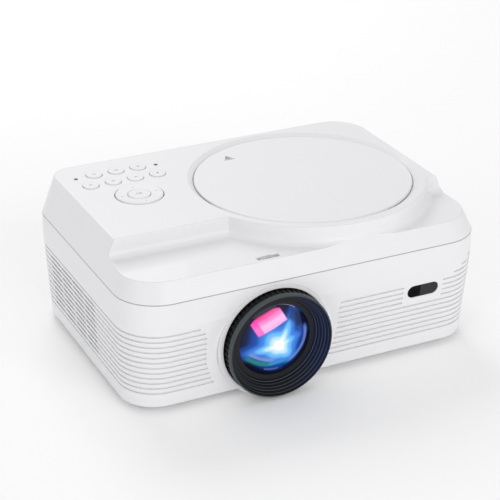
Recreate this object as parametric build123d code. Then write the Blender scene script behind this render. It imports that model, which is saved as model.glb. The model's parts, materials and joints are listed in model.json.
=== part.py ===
"""Table-top projector with a disc player under a flush round lid.

Millimetres, +Z up, the lens looks along -Y.  Everything is modelled in the
case frame, whose origin lies on the floor under the middle of the seam
outline.  On export it moves back by half of the lens's stand-out, so that the
origin is the middle of the whole object's footprint.
"""

import os
from math import cos, pi, radians, sin, sqrt, tan

from build123d import *

# ---------------------------------------------------------------- case sizes
CASE_WIDTH = 254.0
CASE_DEPTH = 178.6
FOOT_HEIGHT = 4.5
SEAM_HEIGHT = 79.5
TAPER_TOP = 62.0
LEDGE_HEIGHT = 92.0
DECK_HEIGHT = 104.4
DECK_ROUND = 1.2
WALL = 2.2

# How far each level's outline lies inside the seam outline: sides, front, back
BOTTOM_INSETS = (3.0, 7.7, 3.0)
SEAM_INSETS = (0.0, 0.0, 0.0)
LEDGE_INSETS = (5.3, 6.8, 2.4)
DECK_INSETS = (10.5, 6.8, 4.8)
# Corner radii: front left, front right, back right, back left
BOTTOM_CORNERS = (24.0, 24.0, 20.0, 20.0)
SEAM_CORNERS = (29.0, 29.0, 24.0, 22.0)
LEDGE_CORNERS = (25.0, 25.0, 25.0, 18.0)
DECK_CORNERS = (22.0, 22.0, 25.0, 14.0)

STEP_SETBACK = 51.4
FOOT_FLARE = 5.0

# ---------------------------------------------------------------- disc lid
LID_X = 36.1
LID_Y = 1.95
LID_RADIUS = 74.0
LID_THICKNESS = 2.25
LID_DROP = 1.35
LID_GAP = 0.6
BEVEL_WIDTH = 3.4
BEVEL_DROP = 2.8
BULGE_RADIUS = 84.0
SEAT_WIDTH = 5.0
SEAT_THICKNESS = 2.0
SEAT_CLEARANCE = 0.35
RECESS_WALL = 2.4

HINGE_SETBACK = 5.1
HINGE_BELOW_LID = 1.2
HINGE_LUG_WIDTH = 8.0
HINGE_LUG_SPACING = 20.0
HINGE_PIN_RADIUS = 1.0
HINGE_PIN_LENGTH = 14.0
HINGE_KNUCKLE_RADIUS = 1.9
HINGE_ARM = 2.2
HINGE_FIT = 0.06
HINGE_SIDE_GAP = 0.6
ARM_REACH = 8.0
ARM_DROP = 7.2

TONGUE_WIDTH = 6.0
TONGUE_DEPTH = 3.0
TONGUE_LENGTH = 6.0
CATCH_SIZE = (14.0, 8.0)
CATCH_HEIGHT = 12.0
CATCH_WALL = 1.6
CATCH_TRAVEL = 2.5
CATCH_GAP = 0.3

# ---------------------------------------------------------------- player
DISC_RADIUS = 60.0
DISC_HOLE_RADIUS = 7.5
WELL_RADIUS = 62.5
WELL_WALL = 1.8
WELL_DEPTH = 8.2
WELL_FLANGE_GAP = 0.3
SCOOP_RADIUS = 13.0
SCOOP_OFFSET = 54.0
TURNTABLE_RADIUS = 14.0
TURNTABLE_THICKNESS = 1.6
TURNTABLE_LIFT = 1.2
TURNTABLE_CONE = 2.8
HUB_HOLE_RADIUS = 15.2
CLAMP_BALL_RADIUS = 1.1
SPINDLE_RADIUS = 1.5
SPINDLE_MOTOR_RADIUS = 11.5
SPINDLE_MOTOR_HEIGHT = 7.0
RUNNING_FIT = 0.05
PLATE = 1.6
LOADER_GAP = 6.0
LOADER_LENGTH = 106.0
LOADER_WIDTH = 78.0
BUSH_LEFT = -18.0
BUSH_RIGHT = 48.0
BUSH_Y = 34.0
BUSH_RADIUS = 4.6
BUSH_NECK = 3.0
LOADER_TAIL = 24.0
SLED_START = 24.0
SLED_TRAVEL = 34.0
SLED_LENGTH = 20.0
SLED_WIDTH = 22.0
SLED_HEIGHT = 6.0
LENS_EYE_RADIUS = 2.8
EYE_MOUNT_RADIUS = LENS_EYE_RADIUS + 1.2
ROD_RADIUS = 1.5
ROD_SPACING = 36.0
SCREW_RADIUS = 1.4
SLED_MOTOR_RADIUS = 5.0
SLED_MOTOR_LENGTH = 12.0

# ---------------------------------------------------------------- keypad
KEY_RADIUS = 5.4
KEY_RISE = 0.8
KEY_GAP = 0.3
KEY_FLANGE = 1.0
KEY_TRAVEL = 0.6
KEY_ROW_BACK = (-91.3, 63.1)
KEY_ROW_FRONT = (-99.6, 46.8)
KEY_PITCH = 16.0
KEYS_BACK = 3
KEYS_FRONT = 4
PAD_X = -75.9
PAD_Y = 19.8
PAD_RADIUS = 16.2
PAD_KEY_RADIUS = 7.4
PAD_TILT = 2.0
GIMBAL_PIVOT = 0.5
GIMBAL_GAP = 0.6
GIMBAL_THICKNESS = 0.7
GIMBAL_RADII = (12.2, 8.6)
GIMBAL_SWITCH_GAP = 0.55
BOARD_THICKNESS = 1.6
SWITCH_HEIGHT = 1.6
INDICATOR_RADIUS = 1.3
INDICATORS = ((-104.8, 61.8), (-46.5, 62.1))

# ---------------------------------------------------------------- lens
LENS_X = -30.0
LENS_Z = 38.3
LENS_PROUD = 9.9
RING_RADIUS = 35.9
RING_RIM = 3.4
RING_KNURL = 5.2
RING_RECESS = 2.7
KNURL_COUNT = 60
KNURL_DEPTH = 0.6
BAFFLE_STEPS = 8
BAFFLE_DEPTH = 10.4
RING_LIP = 1.3
BARREL_RADIUS = 28.0
BARREL_WALL = 2.0
BARREL_LENGTH = 36.0
BARREL_FIT = 0.08
RING_TAIL_WALL = 2.3
RING_TAIL = 19.0
RING_PLAY = 0.6
BEZEL_WIDTH = 2.3
BEZEL_PROUD = 0.7
COLLAR_WIDTH = 2.2
RECESS_FLOOR = 4.9
FRONT_GLASS_EDGE = 4.0
FRONT_GLASS_BULGE = 5.0
REAR_GLASS_RADIUS = 21.0
FOCUS_TRAVEL = 2.0
FOCUS_TURN = 60.0
MOUNT_THICKNESS = 9.0
MOUNT_MARGIN = 5.0
MOUNT_TOP_MARGIN = 2.6

# ---------------------------------------------------------------- light engine
ENGINE_Y = -20.0
ENGINE_WALL = 2.0
ENGINE_HALF_DEPTH = 46.0
ENGINE_LEFT = -66.0
ENGINE_RIGHT = 84.0
ENGINE_TOP = 69.0
PANEL_X = 16.0
PANEL_WIDTH = 76.0
PANEL_HEIGHT = 44.0
PANEL_THICKNESS = 2.4
PANEL_TILT = 3.0
CARRIER_MARGIN = 4.0
CARRIER_THICKNESS = 4.0
CARRIER_PIN = 1.5
MIRROR_THICKNESS = 2.0
MIRROR_LENGTH = 72.0
MIRROR_HEIGHT = 50.0
FIELD_LENS_X = 34.0
CONDENSER_X = 70.0
CONDENSER_RADIUS = 22.0
LAMP_HOLE = 8.0
LED_BOARD = 1.6
HEAT_SINK_DEPTH = 15.0
HEAT_SINK_FINS = 9
FIN_THICKNESS = 1.4
FAN_SIZE = 58.0
FAN_DEPTH = 12.0
FAN_BORE = 26.5
FAN_HUB = 11.0
FAN_BLADES = 7
FAN_GAP = 1.0

# ---------------------------------------------------------------- keystone dial
DIAL_RADIUS = 10.2
DIAL_THICKNESS = 2.8
DIAL_PEEK = 0.7
DIAL_INSIDE_EDGE = 2.7
DIAL_NOTCHES = 36
DIAL_GAP = 0.5
DIAL_TURN = 40.0
DIAL_PIN_RADIUS = 1.5

# ---------------------------------------------------------------- grooves, vents
GROOVE_TOP = 57.4
GROOVE_PITCH = 3.87
GROOVE_COUNT = 12
GROOVE_HEIGHT = 1.0
GROOVE_DEPTH = 0.9
GROOVE_CLEAR_RADIUS = 46.5
GROOVE_CORNER = 11.0
VENT_HEIGHT = 1.7
VENT_LENGTH = 18.0
VENT_RIB = 3.0
VENT_COLUMNS = 4
VENT_ROWS = 10
VENT_FRONT = -23.0

# ---------------------------------------------------------------- window, ports
WINDOW_X = 79.3
WINDOW_Z = 48.8
WINDOW_LENGTH = 23.0
WINDOW_HEIGHT = 8.8
WINDOW_MARGIN = 3.5
WINDOW_THICKNESS = 2.6
PORT_PANEL = (-66.0, 62.0)
PORT_PANEL_Z = (12.0, 36.0)
PORT_PANEL_FRAME = 3.0
PORT_Z = 20.0
HDMI = (15.2, 5.8)
USB = (13.4, 6.2)
JACK_RADIUS = 3.2
JACK_BORE = 1.8
CARD_SLOT = (14.0, 2.0)
PORT_FIT = 0.15
SOCKET_WALL = 0.5
INLET_X = -92.0
INLET_Z = 24.0
INLET_SIZE = (22.0, 15.0)
INLET_HOLLOW = (16.0, 8.6)
INLET_DEPTH = 12.5
INLET_PIN_RADIUS = 1.2
INLET_PIN_LENGTH = 7.0
INLET_PIN_SPACING = 8.6

# ---------------------------------------------------------------- boards
MAIN_BOARD_Z = 14.0
KEYPAD_BOARD = (-106.5, -42.5, -2.0, 77.0)
MAIN_BOARD = (-64.0, 64.0, 34.0, 80.0)
POWER_BOARD = (-116.0, -70.0, -24.0, 60.0)
SPEAKER_RADIUS = 17.0
SPEAKER_Y = -44.0
SPEAKER_Z = 40.0

# ---------------------------------------------------------------- base
FOOT_RADIUS = 7.5
FOOT_X = 98.0
FOOT_FRONT = -62.0
FOOT_BACK = 66.0
FOOT_PLUG = 3.0
INSERT_RADIUS = 5.0
INSERT_FLANGE = 7.0
INSERT_HEIGHT = 9.0
INSERT_THREAD_RADIUS = 2.55
INSERT_X = 0.0
INSERT_Y = 40.0
BOSS_X = 112.0
BOSS_FRONT = -68.0
BOSS_BACK = 70.0
BOSS_RADIUS = 4.5
BOSS_STEP = 16.0
SCREW_SHANK = 1.5
SCREW_PILOT = 1.55
SCREW_HEAD = 2.9
SCREW_HEAD_HEIGHT = 2.0
SCREW_LENGTH = 26.0
CLEAR = 0.3

# ---------------------------------------------------------------- derived places
FLOOR_TOP = FOOT_HEIGHT + WALL
FRONT = -CASE_DEPTH / 2
BACK = CASE_DEPTH / 2
SIDE = CASE_WIDTH / 2
STEP_Y = FRONT + STEP_SETBACK
LID_TOP = DECK_HEIGHT - LID_DROP
LID_UNDER = LID_TOP - LID_THICKNESS
SEAT_TOP = LID_UNDER - SEAT_CLEARANCE
SEAT_UNDER = SEAT_TOP - SEAT_THICKNESS
RECESS_RADIUS = LID_RADIUS + LID_GAP
SEAT_RADIUS = RECESS_RADIUS - SEAT_WIDTH
HINGE_Y = LID_Y + LID_RADIUS + HINGE_SETBACK
HINGE_Z = LID_UNDER - HINGE_BELOW_LID
TONGUE_Y = LID_Y - SEAT_RADIUS - TONGUE_DEPTH / 2 - 0.5
WELL_TOP = SEAT_UNDER - WELL_FLANGE_GAP
WELL_FLOOR = WELL_TOP - WELL_DEPTH
WELL_UNDER = WELL_FLOOR - WELL_WALL
DISC_PLANE = WELL_FLOOR + TURNTABLE_LIFT + TURNTABLE_THICKNESS
LOADER_TOP = WELL_UNDER - LOADER_GAP
LOADER_UNDER = LOADER_TOP - PLATE
ROD_Z = LOADER_UNDER - ROD_RADIUS - 1.5
DECK_UNDER = DECK_HEIGHT - WALL
KEY_FLANGE_TOP = DECK_UNDER - 0.15
SWITCH_TOP = KEY_FLANGE_TOP - KEY_FLANGE - KEY_TRAVEL - CLEAR
BOARD_TOP = SWITCH_TOP - SWITCH_HEIGHT
RIM_Y = FRONT - LENS_PROUD
RING_BACK = FRONT + RING_RECESS
RECESS_Y = RING_BACK + RING_PLAY + (RECESS_FLOOR - RING_RECESS - RING_PLAY)
BARREL_FRONT = RIM_Y + BAFFLE_DEPTH
TAIL_RADIUS = BARREL_RADIUS + BARREL_FIT + RING_TAIL_WALL
BEZEL_INNER = RING_RADIUS + RING_PLAY
BEZEL_OUTER = BEZEL_INNER + BEZEL_WIDTH
TAIL_BACK = RING_BACK + RING_TAIL
MOUNT_FRONT = TAIL_BACK - MOUNT_THICKNESS - 1.0
LENS_MOUNT_TOP = LENS_Z + TAIL_RADIUS + RUNNING_FIT + MOUNT_TOP_MARGIN
ENGINE_FRONT = ENGINE_Y - ENGINE_HALF_DEPTH
ENGINE_BACK = ENGINE_Y + ENGINE_HALF_DEPTH
ENGINE_FLOOR = FLOOR_TOP
PANEL_Z = LENS_Z
DIAL_Z = LEDGE_HEIGHT + DIAL_PEEK - DIAL_RADIUS
DIAL_Y = FRONT + LEDGE_INSETS[1] + DIAL_INSIDE_EDGE
GROOVE_BOTTOM = GROOVE_TOP - (GROOVE_COUNT - 1) * GROOVE_PITCH

PARTS = {}


# ---------------------------------------------------------------- small helpers
def block(x0, x1, y0, y1, z0, z1):
    """Box between two corners."""
    middle = Pos((x0 + x1) / 2, (y0 + y1) / 2, (z0 + z1) / 2)
    return middle * Box(x1 - x0, y1 - y0, z1 - z0)


def post(radius, x, y, z0, z1):
    """Upright cylinder."""
    return Pos(x, y, (z0 + z1) / 2) * Cylinder(radius, z1 - z0)


def rod_x(radius, x0, x1, y, z):
    """Cylinder along X."""
    return Pos((x0 + x1) / 2, y, z) * Rot(0, 90, 0) * Cylinder(radius, x1 - x0)


def rod_y(radius, x, y0, y1, z):
    """Cylinder along Y."""
    return Pos(x, (y0 + y1) / 2, z) * Rot(90, 0, 0) * Cylinder(radius, y1 - y0)


def lid_axis(shape):
    """Move a shape from the origin to the lid's upright axis."""
    return Pos(LID_X, LID_Y, 0) * shape


def lens_axis(shape):
    """Move a shape from the origin to the lens axis."""
    return Pos(LENS_X, 0, LENS_Z) * shape


def turned(points, about=Axis.Z):
    """Revolve a closed outline of (radius, height) points about an upright axis."""
    outline_wire = Polyline(*[(radius, 0, height) for radius, height in points], close=True)
    return revolve(make_face(outline_wire), about)


def turned_y(points):
    """Revolve a closed outline of (radius, y) points about the lens axis."""
    outline_wire = Polyline(*[(radius, along, 0) for radius, along in points], close=True)
    return lens_axis(revolve(make_face(outline_wire), Axis.Y))


def keep(name, shape):
    """Store one sub-part under its node name."""
    PARTS[name] = shape


# ---------------------------------------------------------------- case outlines
def outline(level, insets, corners, inset=0.0):
    """Rounded case outline at one height, drawn in by inset all round."""
    side, front, back = insets
    right = SIDE - side - inset
    front_y = FRONT + front + inset
    back_y = BACK - back - inset
    spots = [(-right, front_y), (right, front_y), (right, back_y), (-right, back_y)]
    with BuildSketch(Plane.XY.offset(level)) as sketch:
        with BuildLine():
            Polyline(*spots, close=True)
        make_face()
        for spot, corner in zip(spots, corners):
            nearest = sketch.vertices().sort_by_distance((spot[0], spot[1], level))[0]
            fillet(nearest, corner - inset)
    return sketch.sketch.face()


def blend_level(height, low, high, low_values, high_values):
    """Values at a height between two levels."""
    share = (height - low) / (high - low)
    return tuple(a + (b - a) * share for a, b in zip(low_values, high_values))


def lower_body(inset=0.0, floor=FOOT_HEIGHT):
    """Solid outer form of the lower case, drawn in by inset."""
    insets = blend_level(floor, FOOT_HEIGHT, TAPER_TOP, BOTTOM_INSETS, SEAM_INSETS)
    corners = blend_level(floor, FOOT_HEIGHT, TAPER_TOP, BOTTOM_CORNERS, SEAM_CORNERS)
    levels = [
        outline(floor, insets, corners, inset),
        outline(TAPER_TOP, SEAM_INSETS, SEAM_CORNERS, inset),
        outline(SEAM_HEIGHT, SEAM_INSETS, SEAM_CORNERS, inset),
    ]
    return loft(levels, ruled=True)


def upper_body(inset=0.0):
    """Solid outer form of the upper case, drawn in by inset."""
    levels = [
        outline(SEAM_HEIGHT, SEAM_INSETS, SEAM_CORNERS, inset),
        outline(LEDGE_HEIGHT - inset, LEDGE_INSETS, LEDGE_CORNERS, inset),
        outline(DECK_HEIGHT - inset, DECK_INSETS, DECK_CORNERS, inset),
    ]
    whole = loft(levels, ruled=True)
    above = block(-CASE_WIDTH, CASE_WIDTH, -CASE_DEPTH, STEP_Y + inset, LEDGE_HEIGHT - inset, 2 * DECK_HEIGHT)
    bulge = post(BULGE_RADIUS - inset, LID_X, LID_Y, SEAM_HEIGHT, 2 * DECK_HEIGHT)
    return whole - (above - bulge), whole


def flare_profile(start):
    """Concave fillet section that starts at a wall and runs out on the ledge."""
    low = LEDGE_HEIGHT - 1.0
    top = LEDGE_HEIGHT + FOOT_FLARE
    end = start + FOOT_FLARE
    middle = (end - FOOT_FLARE * sqrt(0.5), top - FOOT_FLARE * sqrt(0.5))
    edges = ThreePointArc((start, top), middle, (end, LEDGE_HEIGHT))
    edges += Polyline((end, LEDGE_HEIGHT), (end, low), (start - 1.0, low), (start - 1.0, top), (start, top))
    return Plane.XZ * make_face(edges)


def foot_flares(whole):
    """Concave fillets at the foot of the step and of the round bulge."""
    ring = lid_axis(revolve(flare_profile(BULGE_RADIUS), Axis.Z))
    across = extrude(flare_profile(0), CASE_WIDTH / 2, both=True)
    step = Pos(0, STEP_Y, 0) * Rot(0, 0, -90) * across
    return (ring + step) & whole


# ---------------------------------------------------------------- upper case
def lug_places():
    """X places of the two lid lugs."""
    return [LID_X - HINGE_LUG_SPACING / 2, LID_X + HINGE_LUG_SPACING / 2]


def key_places():
    """Names and places of the seven round keys."""
    places = []
    for index in range(KEYS_BACK):
        places.append((f"key_back_{index + 1}", KEY_ROW_BACK[0] + index * KEY_PITCH, KEY_ROW_BACK[1]))
    for index in range(KEYS_FRONT):
        places.append((f"key_front_{index + 1}", KEY_ROW_FRONT[0] + index * KEY_PITCH, KEY_ROW_FRONT[1]))
    return places


def boss_places():
    """Plan places of the four case screws."""
    return [(x, y) for x in (-BOSS_X, BOSS_X) for y in (BOSS_FRONT, BOSS_BACK)]


def lid_recess():
    """Turned space that the lid, its bevel and the disc need in the upper case."""
    bevel_bottom = DECK_HEIGHT - BEVEL_DROP
    above = DECK_HEIGHT + 1.0
    return lid_axis(turned([
        (0, SEAM_HEIGHT),
        (SEAT_RADIUS, SEAM_HEIGHT),
        (SEAT_RADIUS, SEAT_TOP),
        (RECESS_RADIUS, SEAT_TOP),
        (RECESS_RADIUS, bevel_bottom),
        (RECESS_RADIUS + BEVEL_WIDTH, DECK_HEIGHT),
        (RECESS_RADIUS + BEVEL_WIDTH, above),
        (0, above),
    ]))


def hinge_slot(x):
    """Slot in the seat for one gooseneck lug, with a lower part under the bevel."""
    half = HINGE_LUG_WIDTH / 2 + HINGE_SIDE_GAP
    front = HINGE_Y - ARM_REACH - HINGE_ARM
    back = HINGE_Y + HINGE_KNUCKLE_RADIUS + CLEAR
    tall = block(x - half, x + half, front, HINGE_Y, SEAM_HEIGHT, SEAT_TOP + 0.5)
    tall = tall & post(RECESS_RADIUS, LID_X, LID_Y, SEAM_HEIGHT, DECK_HEIGHT)
    low = block(x - half, x + half, front, back, SEAM_HEIGHT, HINGE_Z + 0.2)
    return tall + low + rod_x(HINGE_KNUCKLE_RADIUS + CLEAR, x - half, x + half, HINGE_Y, HINGE_Z)


def hinge_ears(inner):
    """Pin ears under the deck, one each side of each lug."""
    ears = []
    for x in lug_places():
        for side in (-1, 1):
            near = x + side * (HINGE_LUG_WIDTH / 2 + HINGE_SIDE_GAP)
            far = near + side * 3.0
            ear = block(min(near, far), max(near, far), HINGE_Y - 3.0, BACK, HINGE_Z - 3.4, DECK_UNDER + 0.5)
            ears.append(ear & inner)
    return ears


def on_level(edge, level):
    """True if an edge lies flat at a height."""
    box = edge.bounding_box()
    return abs(box.min.Z - level) < 0.01 and abs(box.max.Z - level) < 0.01


def make_upper_case():
    """White top shell with deck, ledge, bulge, lid recess and key holes."""
    outer, whole = upper_body()
    outer = outer + foot_flares(whole)
    outer = outer.fillet(DECK_ROUND, [edge for edge in outer.edges() if on_level(edge, DECK_HEIGHT)])
    inner, _ = upper_body(WALL)
    shell = outer - inner
    seat = lid_axis(turned([
        (SEAT_RADIUS, SEAT_UNDER),
        (RECESS_RADIUS + RECESS_WALL, SEAT_UNDER),
        (RECESS_RADIUS + RECESS_WALL, DECK_UNDER + 0.5),
        (SEAT_RADIUS, DECK_UNDER + 0.5),
    ]))
    shell = shell + (seat & outer)
    for ear in hinge_ears(outer):
        shell = shell + ear
    shell = shell - lid_recess()
    for x in lug_places():
        shell = shell - hinge_slot(x)
        pin_half = HINGE_PIN_LENGTH / 2
        shell = shell - rod_x(HINGE_PIN_RADIUS, x - pin_half, x + pin_half, HINGE_Y, HINGE_Z)
    half = TONGUE_WIDTH / 2 + 1.0
    shell = shell - block(LID_X - half, LID_X + half, TONGUE_Y - 2.5, TONGUE_Y + 2.5 + 1, SEAM_HEIGHT, SEAT_TOP + 1)
    for _, x, y in key_places():
        shell = shell - post(KEY_RADIUS + KEY_GAP, x, y, DECK_UNDER - 1, DECK_HEIGHT + 1)
    shell = shell - post(PAD_RADIUS + KEY_GAP, PAD_X, PAD_Y, DECK_UNDER - 1, DECK_HEIGHT + 1)
    for x, y in INDICATORS:
        shell = shell - post(INDICATOR_RADIUS, x, y, DECK_UNDER - 1, DECK_HEIGHT + 1)
    for x, y in boss_places():
        boss = post(BOSS_RADIUS, x, y, SEAM_HEIGHT - BOSS_STEP + CLEAR, DECK_HEIGHT) & (inner + below_seam())
        shell = shell + boss
        shell = shell - post(SCREW_PILOT, x, y, SEAM_HEIGHT - BOSS_STEP - 1, LEDGE_HEIGHT - WALL - 2)
    for x, y in keypad_posts():
        shell = shell + post(2.5, x, y, BOARD_TOP, DECK_UNDER + 0.5)
    slot_half = sqrt(DIAL_RADIUS ** 2 - (DIAL_RADIUS - DIAL_PEEK - WALL) ** 2) + DIAL_GAP
    dial_back = DIAL_Y + DIAL_THICKNESS + DIAL_GAP
    shell = shell - block(LENS_X - slot_half, LENS_X + slot_half, DIAL_Y - DIAL_GAP, dial_back,
                          LEDGE_HEIGHT - WALL - 1, LEDGE_HEIGHT + 1)
    keep("upper_case", shell)
    return inner


def below_seam():
    """Space inside the case just below the seam."""
    return lower_body(WALL + CLEAR)


def keypad_posts():
    """Plan places of the posts that carry the keypad board."""
    left, right, _, back = KEYPAD_BOARD
    return [(x, y) for x in (left + 4.0, right - 4.0) for y in (back - 46.0, back - 4.0)]


# ---------------------------------------------------------------- lower case
def groove_ring(level):
    """One groove round the whole case at a height."""
    insets = blend_level(level, FOOT_HEIGHT, TAPER_TOP, BOTTOM_INSETS, SEAM_INSETS)
    corners = blend_level(level, FOOT_HEIGHT, TAPER_TOP, BOTTOM_CORNERS, SEAM_CORNERS)
    if level > TAPER_TOP:
        insets, corners = SEAM_INSETS, SEAM_CORNERS
    low = level - GROOVE_HEIGHT / 2
    wide = extrude(outline(low, insets, corners, -2.0), GROOVE_HEIGHT)
    core = extrude(outline(low, insets, corners, GROOVE_DEPTH), GROOVE_HEIGHT)
    return wide - core


def groove_corner(level):
    """How much earlier a groove ends near the rounded top corner of its field."""
    below = GROOVE_TOP + GROOVE_PITCH / 2 - level
    if below >= GROOVE_CORNER:
        return 0.0
    return GROOVE_CORNER - sqrt(GROOVE_CORNER ** 2 - (GROOVE_CORNER - below) ** 2)


def groove_keep_out(level):
    """Plain areas of the front wall that a groove doesn't cross."""
    low, high = level - GROOVE_HEIGHT, level + GROOVE_HEIGHT
    rise = min(level - LENS_Z, 0.0)
    reach = sqrt(max(GROOVE_CLEAR_RADIUS ** 2 - rise ** 2, 0.0)) + groove_corner(level)
    plain = block(LENS_X - reach, LENS_X + reach, -CASE_DEPTH, 0, low, high)
    if abs(level - WINDOW_Z) < WINDOW_HEIGHT / 2 + WINDOW_MARGIN:
        half = WINDOW_LENGTH / 2 + WINDOW_MARGIN
        plain = plain + block(WINDOW_X - half, WINDOW_X + half, -CASE_DEPTH, 0, low, high)
    if level > GROOVE_TOP - GROOVE_PITCH / 2:
        plain = plain + block(LENS_X, WINDOW_X + WINDOW_LENGTH, -CASE_DEPTH, 0, low, high)
    return plain


def vent_slots(side):
    """Through slots of one side wall; side is -1 left or 1 right."""
    slots = []
    for row in range(VENT_ROWS):
        level = GROOVE_TOP - (row + 1) * GROOVE_PITCH
        for column in range(VENT_COLUMNS):
            front = VENT_FRONT + column * (VENT_LENGTH + VENT_RIB)
            near, far = SIDE - 4 * WALL, SIDE + 5.0
            x0, x1 = sorted((side * near, side * far))
            slots.append(block(x0, x1, front, front + VENT_LENGTH, level - VENT_HEIGHT / 2, level + VENT_HEIGHT / 2))
    return slots


def window_pill(margin, y0, y1):
    """Pill shape of the receiver window, grown by margin."""
    half = (WINDOW_LENGTH - WINDOW_HEIGHT) / 2
    radius = WINDOW_HEIGHT / 2 + margin
    left = rod_y(radius, WINDOW_X - half, y0, y1, WINDOW_Z)
    right = rod_y(radius, WINDOW_X + half, y0, y1, WINDOW_Z)
    return left + right + block(WINDOW_X - half, WINDOW_X + half, y0, y1, WINDOW_Z - radius, WINDOW_Z + radius)


def lens_recess():
    """Round pocket and through hole of the front wall for the lens."""
    pocket = rod_y(BEZEL_OUTER + 0.1, LENS_X, -CASE_DEPTH, RECESS_Y, LENS_Z)
    hole = rod_y(TAIL_RADIUS + RING_PLAY, LENS_X, -CASE_DEPTH, 0, LENS_Z)
    return pocket, hole


def port_openings():
    """Names, shapes and X places of the sockets in the rear panel."""
    return [
        ("box", -44.0, HDMI),
        ("box", -20.0, USB),
        ("box", 2.0, USB),
        ("slot", 22.0, CARD_SLOT),
        ("jack", 38.0, JACK_RADIUS),
        ("jack", 50.0, JACK_RADIUS),
    ]


def make_lower_case():
    """White bottom shell with grooves, vents, lens pocket and bosses."""
    outer = lower_body()
    inner = lower_body(WALL, FLOOR_TOP)
    shell = outer - inner
    pocket, hole = lens_recess()
    collar = rod_y(BEZEL_OUTER + COLLAR_WIDTH, LENS_X, -CASE_DEPTH, RECESS_Y + COLLAR_WIDTH, LENS_Z)
    shell = shell + (collar & outer)
    shell = shell - pocket - hole
    grooves = []
    for index in range(GROOVE_COUNT):
        level = GROOVE_TOP - index * GROOVE_PITCH
        grooves.append(groove_ring(level) - groove_keep_out(level))
    for step in (1, 2):
        level = GROOVE_TOP + step * GROOVE_PITCH
        corner = block(SIDE - 24.0 + 6 * step, CASE_WIDTH, -CASE_DEPTH, FRONT + SEAM_CORNERS[1], level - 2, level + 2)
        grooves.append(groove_ring(level) & corner)
    shell = shell - grooves
    shell = shell - (vent_slots(-1) + vent_slots(1))
    shell = shell - window_pill(PORT_FIT, -CASE_DEPTH, 0)
    window_seat = window_pill(2.0, FRONT + 1.0, FRONT + 6.0) - window_pill(PORT_FIT, -CASE_DEPTH, 0)
    shell = shell + (window_seat & outer)
    left, right = PORT_PANEL
    low, high = PORT_PANEL_Z
    frame = PORT_PANEL_FRAME
    shell = shell - block(left + frame, right - frame, 0, CASE_DEPTH, low + frame, high - frame)
    wide = block(left, right, 0, CASE_DEPTH, low, high)
    shell = shell - (wide - lower_body(WALL / 2))
    shell = shell - inlet_block(PORT_FIT, 0, CASE_DEPTH)
    for x, y in boss_places():
        shell = shell + (post(BOSS_RADIUS, x, y, FOOT_HEIGHT + 1, SEAM_HEIGHT - BOSS_STEP) & outer)
        shell = shell - post(SCREW_HEAD + CLEAR, x, y, 0, SEAM_HEIGHT - BOSS_STEP - 4.0)
        shell = shell - post(SCREW_SHANK + 0.2, x, y, 0, SEAM_HEIGHT)
    shell = shell + post(INSERT_FLANGE, INSERT_X, INSERT_Y, FOOT_HEIGHT + 1, FOOT_HEIGHT + INSERT_HEIGHT + 2.0)
    shell = shell - post(INSERT_RADIUS, INSERT_X, INSERT_Y, 0, FOOT_HEIGHT + INSERT_HEIGHT)
    for x, y in foot_places():
        shell = shell - post(FOOT_PLUG, x, y, 0, FLOOR_TOP + 1)
    for x, y in board_posts():
        shell = shell + post(3.0, x, y, FLOOR_TOP - 1, MAIN_BOARD_Z)
    keep("lower_case", shell)
    return outer, inner


def foot_places():
    """Plan places of the four feet."""
    return [(x, y) for x in (-FOOT_X, FOOT_X) for y in (FOOT_FRONT, FOOT_BACK)]


# ---------------------------------------------------------------- lid
def gooseneck(x):
    """One hinge lug, from the lid's underside round to the pin."""
    points = [
        (-ARM_REACH, LID_UNDER - HINGE_Z + 0.2),
        (-ARM_REACH, -3.0),
        (-ARM_REACH + 3.2, -ARM_DROP),
        (0.6, -ARM_DROP),
        (0.6, 0.0),
    ]
    half = HINGE_ARM / 2
    arm = None
    for (y0, z0), (y1, z1) in zip(points, points[1:]):
        long = sqrt((y1 - y0) ** 2 + (z1 - z0) ** 2)
        middle = ((y0 + y1) / 2, (z0 + z1) / 2)
        turn = Vector(0, y1 - y0, z1 - z0).get_signed_angle(Vector(0, 1, 0), Vector(-1, 0, 0))
        bar = Pos(0, *middle) * Rot(turn, 0, 0) * Box(HINGE_LUG_WIDTH, long, HINGE_ARM)
        arm = bar if arm is None else arm + bar
    for y, z in points[1:-1]:
        arm = arm + rod_x(half, -HINGE_LUG_WIDTH / 2, HINGE_LUG_WIDTH / 2, y, z)
    arm = arm + rod_x(HINGE_KNUCKLE_RADIUS, -HINGE_LUG_WIDTH / 2, HINGE_LUG_WIDTH / 2, 0, 0)
    arm = arm - rod_x(HINGE_PIN_RADIUS + HINGE_FIT, -HINGE_LUG_WIDTH, HINGE_LUG_WIDTH, 0, 0)
    return Pos(x, HINGE_Y, HINGE_Z) * arm


def make_lid():
    """Round lid with a rolled edge, two hinge lugs and the catch tongue."""
    plate = post(LID_RADIUS, 0, 0, LID_UNDER, LID_TOP)
    plate = fillet(plate.edges(), LID_THICKNESS / 2 - 0.05)
    lid = lid_axis(plate)
    for x in lug_places():
        lid = lid + gooseneck(x)
    half = TONGUE_WIDTH / 2
    tongue = block(LID_X - half, LID_X + half, TONGUE_Y - TONGUE_DEPTH / 2, TONGUE_Y + TONGUE_DEPTH / 2,
                   LID_UNDER - TONGUE_LENGTH, LID_UNDER + 0.2)
    keep("disc_lid", lid + tongue)
    pins = []
    for x in lug_places():
        pin_half = HINGE_PIN_LENGTH / 2
        pins.append(rod_x(HINGE_PIN_RADIUS, x - pin_half, x + pin_half, HINGE_Y, HINGE_Z))
    keep("hinge_pins", Compound(pins))


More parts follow.
